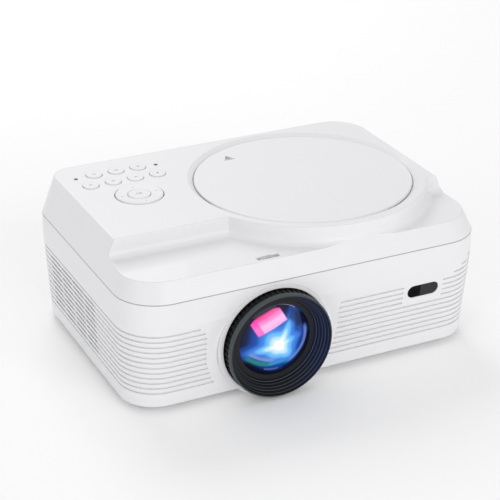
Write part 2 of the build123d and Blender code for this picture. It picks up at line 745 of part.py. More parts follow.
def make_catch():
    """Push catch under the lid's tongue: a fixed guide and a sprung plunger."""
    wide, deep = CATCH_SIZE
    top = LID_UNDER - TONGUE_LENGTH - CATCH_GAP
    plunger_height = 6.0
    guide_top = top - 0.5
    guide_low = guide_top - CATCH_HEIGHT
    guide = block(-wide / 2, wide / 2, -deep / 2, deep / 2, guide_low, guide_top)
    hollow = block(-wide / 2 + CATCH_WALL, wide / 2 - CATCH_WALL, -deep / 2 + CATCH_WALL, deep / 2 - CATCH_WALL,
                   guide_low + CATCH_WALL, guide_top + 1)
    guide = guide - hollow
    bracket_y = WELL_CATCH_Y
    web = block(-wide / 2, wide / 2, deep / 2, bracket_y - TONGUE_Y, guide_top - 3.0, guide_top - 1.4)
    place = Pos(LID_X, TONGUE_Y, 0)
    keep("catch_guide", place * (guide + web))
    slim = CATCH_WALL + CATCH_GAP
    plunger = block(-wide / 2 + slim, wide / 2 - slim, -deep / 2 + slim, deep / 2 - slim, top - plunger_height, top)
    keep("catch_plunger", place * plunger)


# ---------------------------------------------------------------- disc well
WELL_CATCH_Y = LID_Y - WELL_RADIUS - WELL_WALL


def well_plan(grow, z0, z1):
    """Plan of the well with its two finger scoops, grown by a wall."""
    plan = post(WELL_RADIUS + grow, 0, 0, z0, z1)
    for side in (-1, 1):
        plan = plan + post(SCOOP_RADIUS + grow, side * SCOOP_OFFSET * cos(radians(35)),
                           SCOOP_OFFSET * sin(radians(35)), z0, z1)
    return plan


def make_well():
    """Dish under the lid that the disc turns in."""
    dish = well_plan(WELL_WALL, WELL_UNDER, WELL_TOP)
    flange = post(RECESS_RADIUS - 1.2, 0, 0, WELL_TOP - WELL_WALL, WELL_TOP)
    dish = dish + flange
    dish = dish - well_plan(0.0, WELL_FLOOR, WELL_TOP + 1)
    dish = dish - post(HUB_HOLE_RADIUS, 0, 0, WELL_UNDER - 1, WELL_FLOOR + 1)
    half = SLED_WIDTH / 2 + 1.0
    dish = dish - block(SLED_START - SLED_LENGTH / 2 - 1, SLED_START + SLED_TRAVEL + SLED_LENGTH / 2 - 7, -half, half,
                        WELL_UNDER - 1, WELL_FLOOR + 1)
    dish = dish - post(EYE_MOUNT_RADIUS + 0.6, SLED_START + SLED_TRAVEL, 0, WELL_UNDER - 1, WELL_FLOOR + 1)
    dish = lid_axis(dish)
    for x in lug_places():
        half = HINGE_LUG_WIDTH / 2 + HINGE_SIDE_GAP
        dish = dish - block(x - half, x + half, HINGE_Y - ARM_REACH - HINGE_ARM - 0.6, BACK, 0, DECK_HEIGHT)
    half = TONGUE_WIDTH / 2 + 1.5
    dish = dish - block(LID_X - half, LID_X + half, -CASE_DEPTH, TONGUE_Y + 2.5, WELL_TOP - 4, DECK_HEIGHT)
    keep("disc_well", dish)


# ---------------------------------------------------------------- player
def make_player():
    """Spindle, turntable, pickup sled and the frame that carries them."""
    shaft_low = LOADER_UNDER - SPINDLE_MOTOR_HEIGHT + 1.0
    table_low = WELL_FLOOR + TURNTABLE_LIFT
    table = turned([
        (0, shaft_low),
        (SPINDLE_RADIUS, shaft_low),
        (SPINDLE_RADIUS, table_low - 3.0),
        (5.0, table_low - 3.0),
        (5.0, table_low),
        (TURNTABLE_RADIUS, table_low),
        (TURNTABLE_RADIUS, DISC_PLANE),
        (DISC_HOLE_RADIUS - 0.1, DISC_PLANE),
        (DISC_HOLE_RADIUS - 0.1, DISC_PLANE + 1.2),
        (DISC_HOLE_RADIUS - 1.6, DISC_PLANE + TURNTABLE_CONE),
        (0, DISC_PLANE + TURNTABLE_CONE),
    ])
    balls = []
    ball_z = DISC_PLANE + 1.4
    for index in range(3):
        angle = radians(120 * index + 90)
        centre = Pos((DISC_HOLE_RADIUS - 1.5) * cos(angle), (DISC_HOLE_RADIUS - 1.5) * sin(angle), ball_z)
        table = table - centre * Sphere(CLAMP_BALL_RADIUS + 0.02)
        balls.append(lid_axis(centre * Sphere(CLAMP_BALL_RADIUS)))
    keep("turntable", lid_axis(table))
    keep("clamp_balls", Compound(balls))

    can_low = LOADER_UNDER - SPINDLE_MOTOR_HEIGHT
    can = post(SPINDLE_MOTOR_RADIUS, 0, 0, can_low, LOADER_TOP)
    can = can + post(6.0, 0, 0, LOADER_TOP, table_low - 3.0 - CLEAR)
    can = can - post(SPINDLE_RADIUS + RUNNING_FIT, 0, 0, can_low + 0.5, table_low)
    keep("spindle_motor", lid_axis(can))

    far = LOADER_LENGTH - LOADER_TAIL
    frame = block(-LOADER_TAIL, far, -LOADER_WIDTH / 2, LOADER_WIDTH / 2, LOADER_UNDER, LOADER_TOP)
    frame = frame - post(SPINDLE_MOTOR_RADIUS, 0, 0, LOADER_UNDER - 1, LOADER_TOP + 1)
    half = SLED_WIDTH / 2 + 1.5
    frame = frame - block(SPINDLE_MOTOR_RADIUS - 2, SLED_START + SLED_TRAVEL + SLED_LENGTH / 2 + 2, -half, half,
                          LOADER_UNDER - 1, LOADER_TOP + 1)
    rod_start, rod_end = SLED_START - SLED_LENGTH / 2 - 6, far - 4.0
    for y in (-ROD_SPACING / 2, ROD_SPACING / 2):
        for x0 in (rod_start, rod_end - 3.0):
            hanger = block(x0, x0 + 3.0, y - 3.0, y + 3.0, ROD_Z - 3.0, LOADER_UNDER + 0.5)
            frame = frame + hanger
        frame = frame - rod_x(ROD_RADIUS, rod_start - 1, rod_end + 1, y, ROD_Z)
    screw_y = ROD_SPACING / 2 + 8.0
    motor_front = rod_end - SLED_MOTOR_LENGTH
    for x0 in (rod_start, motor_front - 3.0):
        frame = frame + block(x0, x0 + 3.0, screw_y - 3.0, screw_y + 3.0, ROD_Z - 3.0, LOADER_UNDER + 0.5)
    frame = frame - rod_x(SCREW_RADIUS + RUNNING_FIT, rod_start - 1, motor_front, screw_y, ROD_Z)
    frame = frame - rod_x(SLED_MOTOR_RADIUS + 0.05, motor_front, rod_end + 1, screw_y, ROD_Z)
    bushes = []
    for x in (BUSH_LEFT, BUSH_RIGHT):
        for y in (-BUSH_Y, BUSH_Y):
            frame = frame - post(BUSH_NECK, x, y, LOADER_UNDER - 1, LOADER_TOP + 1)
            bush = post(BUSH_RADIUS, x, y, LOADER_TOP, WELL_UNDER)
            bush = bush + post(BUSH_NECK, x, y, LOADER_UNDER, LOADER_TOP)
            bush = bush + post(BUSH_RADIUS, x, y, LOADER_UNDER - 1.2, LOADER_UNDER)
            bushes.append(lid_axis(bush))
    keep("loader_frame", lid_axis(frame))
    keep("damper_bushes", Compound(bushes))

    rods = [rod_x(ROD_RADIUS, rod_start, rod_end, y, ROD_Z) for y in (-ROD_SPACING / 2, ROD_SPACING / 2)]
    keep("guide_rods", lid_axis(Compound(rods)))
    screw = rod_x(SCREW_RADIUS, rod_start, motor_front + 2.0, screw_y, ROD_Z)
    keep("lead_screw", lid_axis(screw))
    motor = rod_x(SLED_MOTOR_RADIUS, motor_front, rod_end, screw_y, ROD_Z)
    motor = motor - rod_x(SCREW_RADIUS + RUNNING_FIT, motor_front - 1, motor_front + 2.5, screw_y, ROD_Z)
    keep("sled_motor", lid_axis(motor))

    sled_low = ROD_Z - 3.0
    sled_half = SLED_LENGTH / 2
    sled = block(-sled_half, sled_half, -SLED_WIDTH / 2, SLED_WIDTH / 2, sled_low, WELL_UNDER - 1.5)
    wing = ROD_SPACING / 2 + 3.0
    sled = sled + block(-sled_half, sled_half, -wing, wing, sled_low, LOADER_UNDER - CLEAR - 0.1)
    sled = sled - rod_x(ROD_RADIUS + RUNNING_FIT, -sled_half - 1, sled_half + 1, -ROD_SPACING / 2, ROD_Z)
    sled = sled - rod_x(ROD_RADIUS + RUNNING_FIT, -sled_half - 1, sled_half + 1, ROD_SPACING / 2, ROD_Z)
    arm = block(-3.0, 3.0, wing - 0.5, screw_y + 2.8, sled_low, LOADER_UNDER - CLEAR - 0.1)
    arm = arm - rod_x(SCREW_RADIUS + RUNNING_FIT, -4.0, 4.0, screw_y, ROD_Z)
    eye_z = WELL_UNDER - 1.5
    sled = sled + arm
    sled = Pos(SLED_START, 0, 0) * sled
    keep("pickup_sled", lid_axis(sled))
    eye = post(EYE_MOUNT_RADIUS, 0, 0, eye_z, eye_z + 1.6)
    eye = eye + Pos(0, 0, eye_z + 1.6) * (Sphere(LENS_EYE_RADIUS) & block(-5, 5, -5, 5, 0, 1.4))
    keep("objective_lens", lid_axis(Pos(SLED_START, 0, 0) * eye))


# ---------------------------------------------------------------- keypad
def make_keypad():
    """Round keys, the ring pad with its centre key, and their board."""
    board = block(*KEYPAD_BOARD, BOARD_TOP - BOARD_THICKNESS, BOARD_TOP)
    keep("keypad_board", board)
    switches = []
    for name, x, y in key_places():
        cap = post(KEY_RADIUS, x, y, KEY_FLANGE_TOP - KEY_FLANGE, DECK_HEIGHT + KEY_RISE)
        cap = cap + post(KEY_RADIUS + KEY_GAP + 0.8, x, y, KEY_FLANGE_TOP - KEY_FLANGE, KEY_FLANGE_TOP)
        cap = fillet(cap.edges().sort_by(Axis.Z)[-1:], 0.4)
        keep(name, cap)
        switches.append(block(x - 2.6, x + 2.6, y - 2.6, y + 2.6, BOARD_TOP, SWITCH_TOP))
    top = DECK_HEIGHT + KEY_RISE
    inner = PAD_KEY_RADIUS + KEY_GAP
    pad_low = KEY_FLANGE_TOP - KEY_FLANGE
    pad = turned([
        (inner, pad_low),
        (PAD_RADIUS + 0.2, pad_low),
        (PAD_RADIUS + 0.2, KEY_FLANGE_TOP - 0.6),
        (PAD_RADIUS - 0.3, DECK_UNDER),
        (PAD_RADIUS - 0.3, top - 0.5),
        (PAD_RADIUS - 0.8, top),
        (inner + 0.5, top - 0.3),
        (inner, top - 0.7),
    ])
    pivot = GIMBAL_PIVOT
    gimbal_top = pad_low - GIMBAL_GAP
    gimbal_low = gimbal_top - GIMBAL_THICKNESS
    outer, bore = GIMBAL_RADII
    cross_z = gimbal_top - pivot
    gimbal = post(outer, 0, 0, gimbal_low, gimbal_top) - post(bore, 0, 0, gimbal_low - 1, gimbal_top + 1)
    saddles = []
    for side in (-1, 1):
        y0, y1 = sorted((side * bore, side * outer))
        pad = pad - rod_y(pivot + 0.06, 0, y0 - 0.3, y1 + 0.3, pad_low)
        gimbal = gimbal + rod_y(pivot, 0, y0, y1, pad_low)
        gimbal = gimbal + block(-0.8 * pivot, 0.8 * pivot, y0, y1, gimbal_top - 0.1, pad_low)
        x0, x1 = sorted((side * (outer - 0.5), side * (outer + 2.0)))
        gimbal = gimbal + rod_x(pivot, x0, x1, 0, cross_z)
        x0, x1 = sorted((side * (outer + 0.7), side * (outer + 1.8)))
        saddle = block(x0, x1, -1.4, 1.4, BOARD_TOP, cross_z) - rod_x(pivot + 0.06, x0 - 1, x1 + 1, 0, cross_z)
        saddles.append(Pos(PAD_X, PAD_Y, 0) * saddle)
    keep("pad_ring", Pos(PAD_X, PAD_Y, 0) * pad)
    keep("pad_gimbal", Pos(PAD_X, PAD_Y, 0) * gimbal)
    switches += saddles
    centre = post(PAD_KEY_RADIUS, PAD_X, PAD_Y, pad_low - 0.4, top)
    centre = fillet(centre.edges().sort_by(Axis.Z)[-1:], 0.4)
    keep("pad_centre_key", centre)
    switches.append(block(PAD_X - 2.6, PAD_X + 2.6, PAD_Y - 2.6, PAD_Y + 2.6, BOARD_TOP, pad_low - 0.4 - KEY_TRAVEL - 0.1))
    for index in range(4):
        angle = radians(90 * index)
        x = PAD_X + 12.0 * cos(angle)
        y = PAD_Y + 12.0 * sin(angle)
        switches.append(block(x - 1.6, x + 1.6, y - 1.6, y + 1.6, BOARD_TOP, gimbal_low - GIMBAL_SWITCH_GAP))
    keep("key_switches", Compound(switches))
    dots = [post(INDICATOR_RADIUS, x, y, BOARD_TOP, DECK_HEIGHT + 0.2) for x, y in INDICATORS]
    keep("indicator_pipes", Compound(dots))


# ---------------------------------------------------------------- lens
def make_lens(case_outer):
    """Bezel, focus ring, barrel, glasses and the bracket that holds them."""
    pocket, _ = lens_recess()
    seat = case_outer - pocket
    bezel = rod_y(BEZEL_OUTER, LENS_X, FRONT - BEZEL_PROUD, FRONT + BOTTOM_INSETS[1] + 1, LENS_Z)
    bezel = bezel - rod_y(BEZEL_INNER, LENS_X, -CASE_DEPTH, RING_BACK + RING_PLAY, LENS_Z)
    bezel = bezel - rod_y(TAIL_RADIUS + RING_PLAY, LENS_X, -CASE_DEPTH, 0, LENS_Z)
    bezel = bezel - seat
    bezel = bezel - block(-CASE_WIDTH, CASE_WIDTH, -CASE_DEPTH, 0, -50, FOOT_HEIGHT)
    keep("lens_bezel", bezel)

    bore = BARREL_RADIUS + BARREL_FIT
    rim_end = RIM_Y + RING_RIM
    knurl_end = rim_end + RING_KNURL
    profile = [(RING_RADIUS - 1.0, RIM_Y), (RING_RADIUS, RIM_Y + 0.8), (RING_RADIUS, rim_end)]
    profile += [(RING_RADIUS - KNURL_DEPTH, rim_end), (RING_RADIUS - KNURL_DEPTH, knurl_end)]
    profile += [(RING_RADIUS, knurl_end), (RING_RADIUS, RING_BACK), (TAIL_RADIUS, RING_BACK)]
    profile += [(TAIL_RADIUS, TAIL_BACK), (bore, TAIL_BACK)]
    mouth = RING_RADIUS - RING_LIP
    fall = (mouth - bore) / BAFFLE_STEPS
    tread = BAFFLE_DEPTH / BAFFLE_STEPS
    for step in range(BAFFLE_STEPS):
        along = RIM_Y + BAFFLE_DEPTH - step * tread
        profile += [(bore + step * fall, along), (bore + step * fall + 0.6 * fall, along - 0.2)]
    profile += [(mouth, RIM_Y + 0.6), (mouth, RIM_Y)]
    ring = turned_y(profile)
    ribs = []
    for index in range(KNURL_COUNT):
        angle = 360 * index / KNURL_COUNT
        rib = Rot(0, angle, 0) * block(-0.9, 0.9, rim_end - 0.2, knurl_end + 0.2,
                                       RING_RADIUS - 2 * KNURL_DEPTH, RING_RADIUS - 0.1)
        ribs.append(lens_axis(rib))
    ring = ring + ribs
    keep("focus_ring", ring)

    barrel_back = BARREL_FRONT + BARREL_LENGTH
    inside = BARREL_RADIUS - BARREL_WALL
    lip = inside - 1.2
    glass_front = BARREL_FRONT + 1.2
    glass_back = glass_front + FRONT_GLASS_EDGE
    rear_front = barrel_back - 8.0
    barrel = turned_y([
        (lip, BARREL_FRONT),
        (BARREL_RADIUS, BARREL_FRONT),
        (BARREL_RADIUS, barrel_back),
        (REAR_GLASS_RADIUS, barrel_back),
        (REAR_GLASS_RADIUS, rear_front),
        (REAR_GLASS_RADIUS - 1.5, rear_front),
        (REAR_GLASS_RADIUS - 1.5, rear_front - 2.0),
        (lip, glass_back + 1.5),
        (inside, glass_back),
        (inside, glass_front),
        (lip, glass_front),
    ])
    keep("lens_barrel", barrel)
    keep("front_lens", lens_glass(inside, lip - 0.05, glass_front, glass_back, FRONT_GLASS_BULGE))
    keep("rear_lens", lens_glass(REAR_GLASS_RADIUS, REAR_GLASS_RADIUS - 1.6, rear_front, rear_front + 5.0, 2.5))

    mount_bore = TAIL_RADIUS + RUNNING_FIT
    half = mount_bore + MOUNT_MARGIN
    mount = block(LENS_X - half, LENS_X + half, MOUNT_FRONT, MOUNT_FRONT + MOUNT_THICKNESS, FLOOR_TOP, LENS_MOUNT_TOP)
    mount = mount - rod_y(mount_bore, LENS_X, -CASE_DEPTH, 0, LENS_Z)
    keep("lens_mount", mount)


def lens_glass(radius, face, front, back, bulge):
    """Glass with a flat edge and a domed front that looks along -Y."""
    ball = (face ** 2 + bulge ** 2) / (2 * bulge)
    dome = Sphere(ball) & rod_y(face, 0, -2 * ball, 0, 0)
    dome = Pos(0, front + ball - bulge, 0) * dome
    edge = rod_y(radius, 0, front, back, 0)
    cut = block(-radius, radius, front - bulge - 1, front + 0.5, -radius, radius)
    return lens_axis(edge + (dome & cut))


# ---------------------------------------------------------------- light engine
def make_engine():
    """Light engine: housing, mirror, panel, lenses, lamp board and cooling."""
    left, right, wall = ENGINE_LEFT, ENGINE_RIGHT, ENGINE_WALL
    box = block(left, right, ENGINE_FRONT, ENGINE_BACK, ENGINE_FLOOR, ENGINE_TOP)
    box = box - block(left + wall, right - wall, ENGINE_FRONT + wall, ENGINE_BACK - wall, ENGINE_FLOOR + wall, ENGINE_TOP + 1)
    box = box - rod_y(BARREL_RADIUS + 1.0, LENS_X, ENGINE_FRONT - 1, ENGINE_FRONT + wall + 1, LENS_Z)
    box = box - rod_x(LAMP_HOLE, right - wall - 1, right + 1, ENGINE_Y, LENS_Z)
    pin_y = PANEL_WIDTH / 2 + CARRIER_MARGIN
    box = box - rod_y(CARRIER_PIN + RUNNING_FIT, PANEL_X, ENGINE_FRONT - 1, ENGINE_BACK + 1, PANEL_Z)
    for x, thick in ((FIELD_LENS_X, PANEL_THICKNESS),):
        for y0, y1 in ((ENGINE_FRONT + wall, ENGINE_FRONT + wall + 4.0), (ENGINE_BACK - wall - 4.0, ENGINE_BACK - wall)):
            rail = block(x - thick / 2 - 1.5, x + thick / 2 + 1.5, y0, y1, ENGINE_FLOOR + wall - 0.5, ENGINE_TOP - 6)
            slot = block(x - thick / 2, x + thick / 2, ENGINE_FRONT + wall, ENGINE_BACK - wall, ENGINE_FLOOR + wall, ENGINE_TOP)
            box = box + (rail - slot)
    wallplate = block(CONDENSER_X - 3.0, CONDENSER_X + 3.0, ENGINE_FRONT + wall - 0.5, ENGINE_BACK - wall + 0.5,
                      ENGINE_FLOOR + wall - 0.5, ENGINE_TOP - 8)
    box = box + (wallplate - rod_x(CONDENSER_RADIUS, CONDENSER_X - 4, CONDENSER_X + 4, ENGINE_Y, LENS_Z))
    mirror_place = Pos(LENS_X, ENGINE_Y, 0) * Rot(0, 0, -45)
    mirror_low = LENS_Z - MIRROR_HEIGHT / 2
    seat = block(-4.0, 4.0, -MIRROR_LENGTH / 2 + 12, MIRROR_LENGTH / 2 - 12, ENGINE_FLOOR + wall - 0.5, mirror_low)
    box = box + mirror_place * seat
    keep("engine_housing", box)
    cover = block(left, right, ENGINE_FRONT, ENGINE_BACK, ENGINE_TOP, ENGINE_TOP + PLATE)
    keep("engine_cover", cover)

    field = block(FIELD_LENS_X - PANEL_THICKNESS / 2, FIELD_LENS_X + PANEL_THICKNESS / 2,
                  ENGINE_FRONT + wall, ENGINE_BACK - wall, ENGINE_FLOOR + wall, ENGINE_TOP - 8)
    keep("field_lens", field)
    bulb = Sphere(34.0) & rod_x(CONDENSER_RADIUS - 1.0, -34.0, 0, 0, 0)
    bulb = Pos(CONDENSER_X + 25.0, ENGINE_Y, LENS_Z) * bulb
    bulb = bulb & block(CONDENSER_X - 12.0, CONDENSER_X, -CASE_DEPTH, CASE_DEPTH, 0, DECK_HEIGHT)
    disc = rod_x(CONDENSER_RADIUS, CONDENSER_X - 1.5, CONDENSER_X + 3.0, ENGINE_Y, LENS_Z)
    keep("condenser_lens", disc + bulb)

    half_w, half_h = PANEL_WIDTH / 2, PANEL_HEIGHT / 2
    carrier = block(-CARRIER_THICKNESS / 2, CARRIER_THICKNESS / 2, -pin_y, pin_y, -half_h - CARRIER_MARGIN, half_h + CARRIER_MARGIN)
    carrier = carrier - block(-CARRIER_THICKNESS, CARRIER_THICKNESS, -half_w + 2, half_w - 2, -half_h + 2, half_h - 2)
    carrier = carrier - block(-PANEL_THICKNESS / 2, CARRIER_THICKNESS, -half_w, half_w, -half_h, half_h)
    pin_end = ENGINE_HALF_DEPTH - 0.2
    for side in (-1, 1):
        y0, y1 = sorted((side * (pin_y - 0.5), side * pin_end))
        carrier = carrier + rod_y(CARRIER_PIN, 0, y0, y1, 0)
    place = Pos(PANEL_X, ENGINE_Y, PANEL_Z)
    keep("panel_carrier", place * carrier)
    panel = block(-PANEL_THICKNESS / 2, CARRIER_THICKNESS / 2, -half_w, half_w, -half_h, half_h)
    keep("display_panel", place * panel)

    mirror = Box(MIRROR_THICKNESS, MIRROR_LENGTH, MIRROR_HEIGHT)
    keep("fold_mirror", mirror_place * Pos(0, 0, LENS_Z) * mirror)

    board_end = right + LED_BOARD
    half = FAN_SIZE / 2
    board = block(right, board_end, ENGINE_Y - half, ENGINE_Y + half, LENS_Z - half + 3, LENS_Z + half)
    board = board + rod_x(6.0, right - 3.0, right + 0.5, ENGINE_Y, LENS_Z)
    keep("lamp_board", board)
    sink = block(board_end, board_end + 4.0, ENGINE_Y - half, ENGINE_Y + half, LENS_Z - half + 3, LENS_Z + half)
    fin_pitch = (FAN_SIZE - FIN_THICKNESS) / (HEAT_SINK_FINS - 1)
    sink_end = board_end + HEAT_SINK_DEPTH
    for index in range(HEAT_SINK_FINS):
        y = ENGINE_Y - half + index * fin_pitch
        sink = sink + block(board_end + 3.0, sink_end, y, y + FIN_THICKNESS, LENS_Z - half + 3, LENS_Z + half)
    keep("heat_sink", sink)

    fan_start = sink_end + CLEAR
    fan_end = fan_start + FAN_DEPTH
    frame = block(fan_start, fan_end, ENGINE_Y - half, ENGINE_Y + half, LENS_Z - half + 0.6, LENS_Z + half)
    frame = frame - rod_x(FAN_BORE, fan_start - 1, fan_end + 1, ENGINE_Y, LENS_Z)
    spokes = rod_x(FAN_HUB, fan_start, fan_start + 2.0, ENGINE_Y, LENS_Z)
    for index in range(3):
        bar = block(fan_start, fan_start + 2.0, -1.5, 1.5, FAN_HUB - 1, FAN_BORE + 1)
        spokes = spokes + Pos(0, ENGINE_Y, LENS_Z) * Rot(120 * index, 0, 0) * bar
    frame = frame + spokes
    frame = frame + rod_x(1.5, fan_start + 1.5, fan_end - 3.0, ENGINE_Y, LENS_Z)
    keep("fan_frame", frame)
    rotor = rod_x(FAN_HUB, fan_start + 2.0 + CLEAR, fan_end - 0.5, 0, 0)
    middle = (fan_start + fan_end) / 2 + 1
    for index in range(FAN_BLADES):
        blade = Pos(middle, 0, 0) * Rot(0, 0, 38) * block(-4.5, 4.5, -0.7, 0.7, FAN_HUB - 1.5, FAN_BORE - FAN_GAP)
        rotor = rotor + Rot(360 * index / FAN_BLADES, 0, 0) * blade
    rotor = rotor - rod_x(1.5 + RUNNING_FIT, fan_start, fan_end - 2.5, 0, 0)
    keep("fan_rotor", Pos(0, ENGINE_Y, LENS_Z) * rotor)


# ---------------------------------------------------------------- boards
def board_posts():
    """Plan places of the posts under the main and power boards."""
    corners = []
    for left, right, front, back in (MAIN_BOARD, POWER_BOARD):
        corners += [(x, y) for x in (left + 5.0, right - 5.0) for y in (front + 6.0, back - 6.0)]
    return corners


def make_boards(inner):
    """Circuit boards, sockets, speaker and the rear port panel."""
    top = MAIN_BOARD_Z + BOARD_THICKNESS
    board = block(*MAIN_BOARD, MAIN_BOARD_Z, top)
    board = board - post(INSERT_FLANGE + 1, INSERT_X, INSERT_Y, 0, SEAM_HEIGHT)
    board = board + block(-20.0, 4.0, 53.0, 66.0, top - 0.2, top + 2.0)
    board = board + block(24.0, 40.0, 48.0, 60.0, top - 0.2, top + 1.6)
    keep("main_board", board)
    power = block(*POWER_BOARD, MAIN_BOARD_Z, top)
    left, right, front, _ = POWER_BOARD
    power = power + post(9.0, left + 14.0, front + 38.0, top - 0.2, top + 24.0)
    power = power + block(right - 22.0, right - 4.0, front + 4.0, front + 26.0, top - 0.2, top + 18.0)
    power = power + block(right - 20.0, right - 8.0, front + 40.0, front + 66.0, top - 0.2, top + 14.0)
    keep("power_board", power)
    player_z = WELL_UNDER - 7.0
    player = block(LID_X - 26.0, LID_X + 26.0, LID_Y + 41.0, LID_Y + 56.0, player_z, player_z + BOARD_THICKNESS)
    for x in (LID_X - 22.0, LID_X + 22.0):
        player = player + post(2.0, x, LID_Y + 48.5, player_z + 0.5, WELL_UNDER)
    keep("player_board", player)

    low, high = PORT_PANEL_Z
    left, right = PORT_PANEL
    panel = block(left + PORT_FIT, right - PORT_FIT, 0, CASE_DEPTH, low + PORT_FIT, high - PORT_FIT)
    panel = panel & (lower_body() - lower_body(WALL / 2))
    sockets = []
    for kind, x, size in port_openings():
        if kind == "jack":
            hole = rod_y(size + PORT_FIT, x, 0, CASE_DEPTH, PORT_Z)
            body = rod_y(size, x, BACK - 18.0, BACK - 3.2, PORT_Z)
            body = body + block(x - 4.0, x + 4.0, BACK - 18.0, BACK - 6.5, top, PORT_Z + 3.5)
            body = body - rod_y(JACK_BORE, x, BACK - 16.0, BACK, PORT_Z)
        else:
            wide, tall = size
            half_w, half_h = wide / 2 + SOCKET_WALL, tall / 2 + SOCKET_WALL
            hole = block(x - half_w - PORT_FIT, x + half_w + PORT_FIT, 0, CASE_DEPTH,
                         PORT_Z - half_h - PORT_FIT, PORT_Z + half_h + PORT_FIT)
            body = block(x - half_w, x + half_w, BACK - 20.0, BACK - 3.2, PORT_Z - half_h, PORT_Z + half_h)
            body = body - block(x - wide / 2, x + wide / 2, BACK - 17.0, BACK, PORT_Z - tall / 2, PORT_Z + tall / 2)
            if kind == "box":
                body = body + block(x - wide / 2 + 1.6, x + wide / 2 - 1.6, BACK - 17.5, BACK - 6.0, PORT_Z - 0.8, PORT_Z + 0.8)
            body = body + block(x - half_w, x + half_w, BACK - 20.0, BACK - 10.0, top, PORT_Z - half_h + 0.1)
        panel = panel - hole
        sockets.append(body)
    keep("port_panel", panel)
    keep("sockets", Compound(sockets))

    inlet = inlet_block(0.0, BACK - 20.0, BACK - 2.6)
    wide, tall = INLET_HOLLOW
    mouth = BACK - 2.6
    inlet = inlet - block(INLET_X - wide / 2, INLET_X + wide / 2, mouth - INLET_DEPTH, BACK, INLET_Z - tall / 2, INLET_Z + tall / 2)
    for side in (-1, 1):
        x = INLET_X + side * INLET_PIN_SPACING / 2
        inlet = inlet + rod_y(INLET_PIN_RADIUS, x, mouth - INLET_DEPTH - 0.5, mouth - INLET_DEPTH + INLET_PIN_LENGTH, INLET_Z)
    keep("power_inlet", inlet)

    speaker = rod_x(SPEAKER_RADIUS, -118.0, -112.0, SPEAKER_Y, SPEAKER_Z)
    speaker = speaker + rod_x(10.0, -112.0, -104.0, SPEAKER_Y, SPEAKER_Z)
    speaker = speaker - Pos(-119.0, SPEAKER_Y, SPEAKER_Z) * Rot(0, 90, 0) * Cone(15.0, 5.0, 8.0)
    half = SPEAKER_RADIUS - 5.0
    foot = block(-117.0, -112.0, SPEAKER_Y - half, SPEAKER_Y + half, FLOOR_TOP, SPEAKER_Z - half)
    keep("speaker", speaker + foot)


def inlet_block(grow, y0, y1):
    """Outer body of the power inlet, grown by a fit."""
    wide, tall = INLET_SIZE
    return block(INLET_X - wide / 2 - grow, INLET_X + wide / 2 + grow, y0, y1,
                 INLET_Z - tall / 2 - grow, INLET_Z + tall / 2 + grow)


# ---------------------------------------------------------------- small pieces
def make_small_pieces():
    """Receiver window, keystone dial, tripod insert, feet and screws."""
    window = window_pill(0.0, FRONT - 0.1, FRONT + 6.0) & lower_body(0.3)
    keep("ir_window", window)

    y0, y1 = DIAL_Y, DIAL_Y + DIAL_THICKNESS
    dial = rod_y(DIAL_RADIUS, LENS_X, y0, y1, DIAL_Z)
    for index in range(DIAL_NOTCHES):
        notch = Pos(LENS_X, 0, DIAL_Z) * Rot(0, 360 * index / DIAL_NOTCHES, 0) * block(
            -0.35, 0.35, y0 - 1, y1 + 1, DIAL_RADIUS - 0.5, DIAL_RADIUS + 1)
        dial = dial - notch
    dial = dial - rod_y(DIAL_PIN_RADIUS + RUNNING_FIT, LENS_X, y0 - 1, y1 + 1, DIAL_Z)
    keep("keystone_dial", dial)
    bracket = block(LENS_X - 5.0, LENS_X + 5.0, y1 + CLEAR, y1 + CLEAR + 2.0, LENS_MOUNT_TOP, DIAL_Z + 5.0)
    bracket = bracket + block(LENS_X - 5.0, LENS_X + 5.0, y1 + CLEAR, MOUNT_FRONT + 4.0, LENS_MOUNT_TOP, LENS_MOUNT_TOP + 2.0)
    bracket = bracket + rod_y(DIAL_PIN_RADIUS, LENS_X, y0 - 0.3, y1 + CLEAR + 1.0, DIAL_Z)
    keep("dial_bracket", bracket)

    insert = post(INSERT_RADIUS, INSERT_X, INSERT_Y, FOOT_HEIGHT, FOOT_HEIGHT + INSERT_HEIGHT)
    insert = insert - post(INSERT_THREAD_RADIUS, INSERT_X, INSERT_Y, 0, FOOT_HEIGHT + INSERT_HEIGHT - 1.0)
    keep("tripod_insert", insert)

    feet = []
    for x, y in foot_places():
        foot = post(FOOT_RADIUS, x, y, 0, FOOT_HEIGHT)
        foot = chamfer(foot.edges().sort_by(Axis.Z)[:1], 0.8)
        feet.append(foot + post(FOOT_PLUG, x, y, FOOT_HEIGHT - 0.5, FLOOR_TOP + 0.6))
    keep("feet", Compound(feet))

    screws = []
    head_low = SEAM_HEIGHT - BOSS_STEP - 4.0 - SCREW_HEAD_HEIGHT
    for x, y in boss_places():
        screw = post(SCREW_HEAD, x, y, head_low, head_low + SCREW_HEAD_HEIGHT)
        screw = screw + post(SCREW_SHANK, x, y, head_low + SCREW_HEAD_HEIGHT - 0.5, head_low + SCREW_LENGTH)
        screw = screw - block(x - 1.8, x + 1.8, y - 0.4, y + 0.4, head_low - 1, head_low + 1.0)
        screws.append(screw)
    keep("case_screws", Compound(screws))


def write_parts():
    """Write each sub-part to its own file, in the object's frame."""
    os.makedirs("parts", exist_ok=True)
    shift = Pos(0, LENS_PROUD / 2, 0)
    for name, shape in PARTS.items():
        export_step(shift * shape, f"parts/{name}.step")


def main():
    """Build every sub-part."""
    make_upper_case()
    case_outer, case_inner = make_lower_case()
    make_lid()
    make_catch()
    make_well()
    make_player()
    make_keypad()
    make_lens(case_outer)
    make_engine()
    make_boards(case_inner)
    make_small_pieces()
    write_parts()


main()
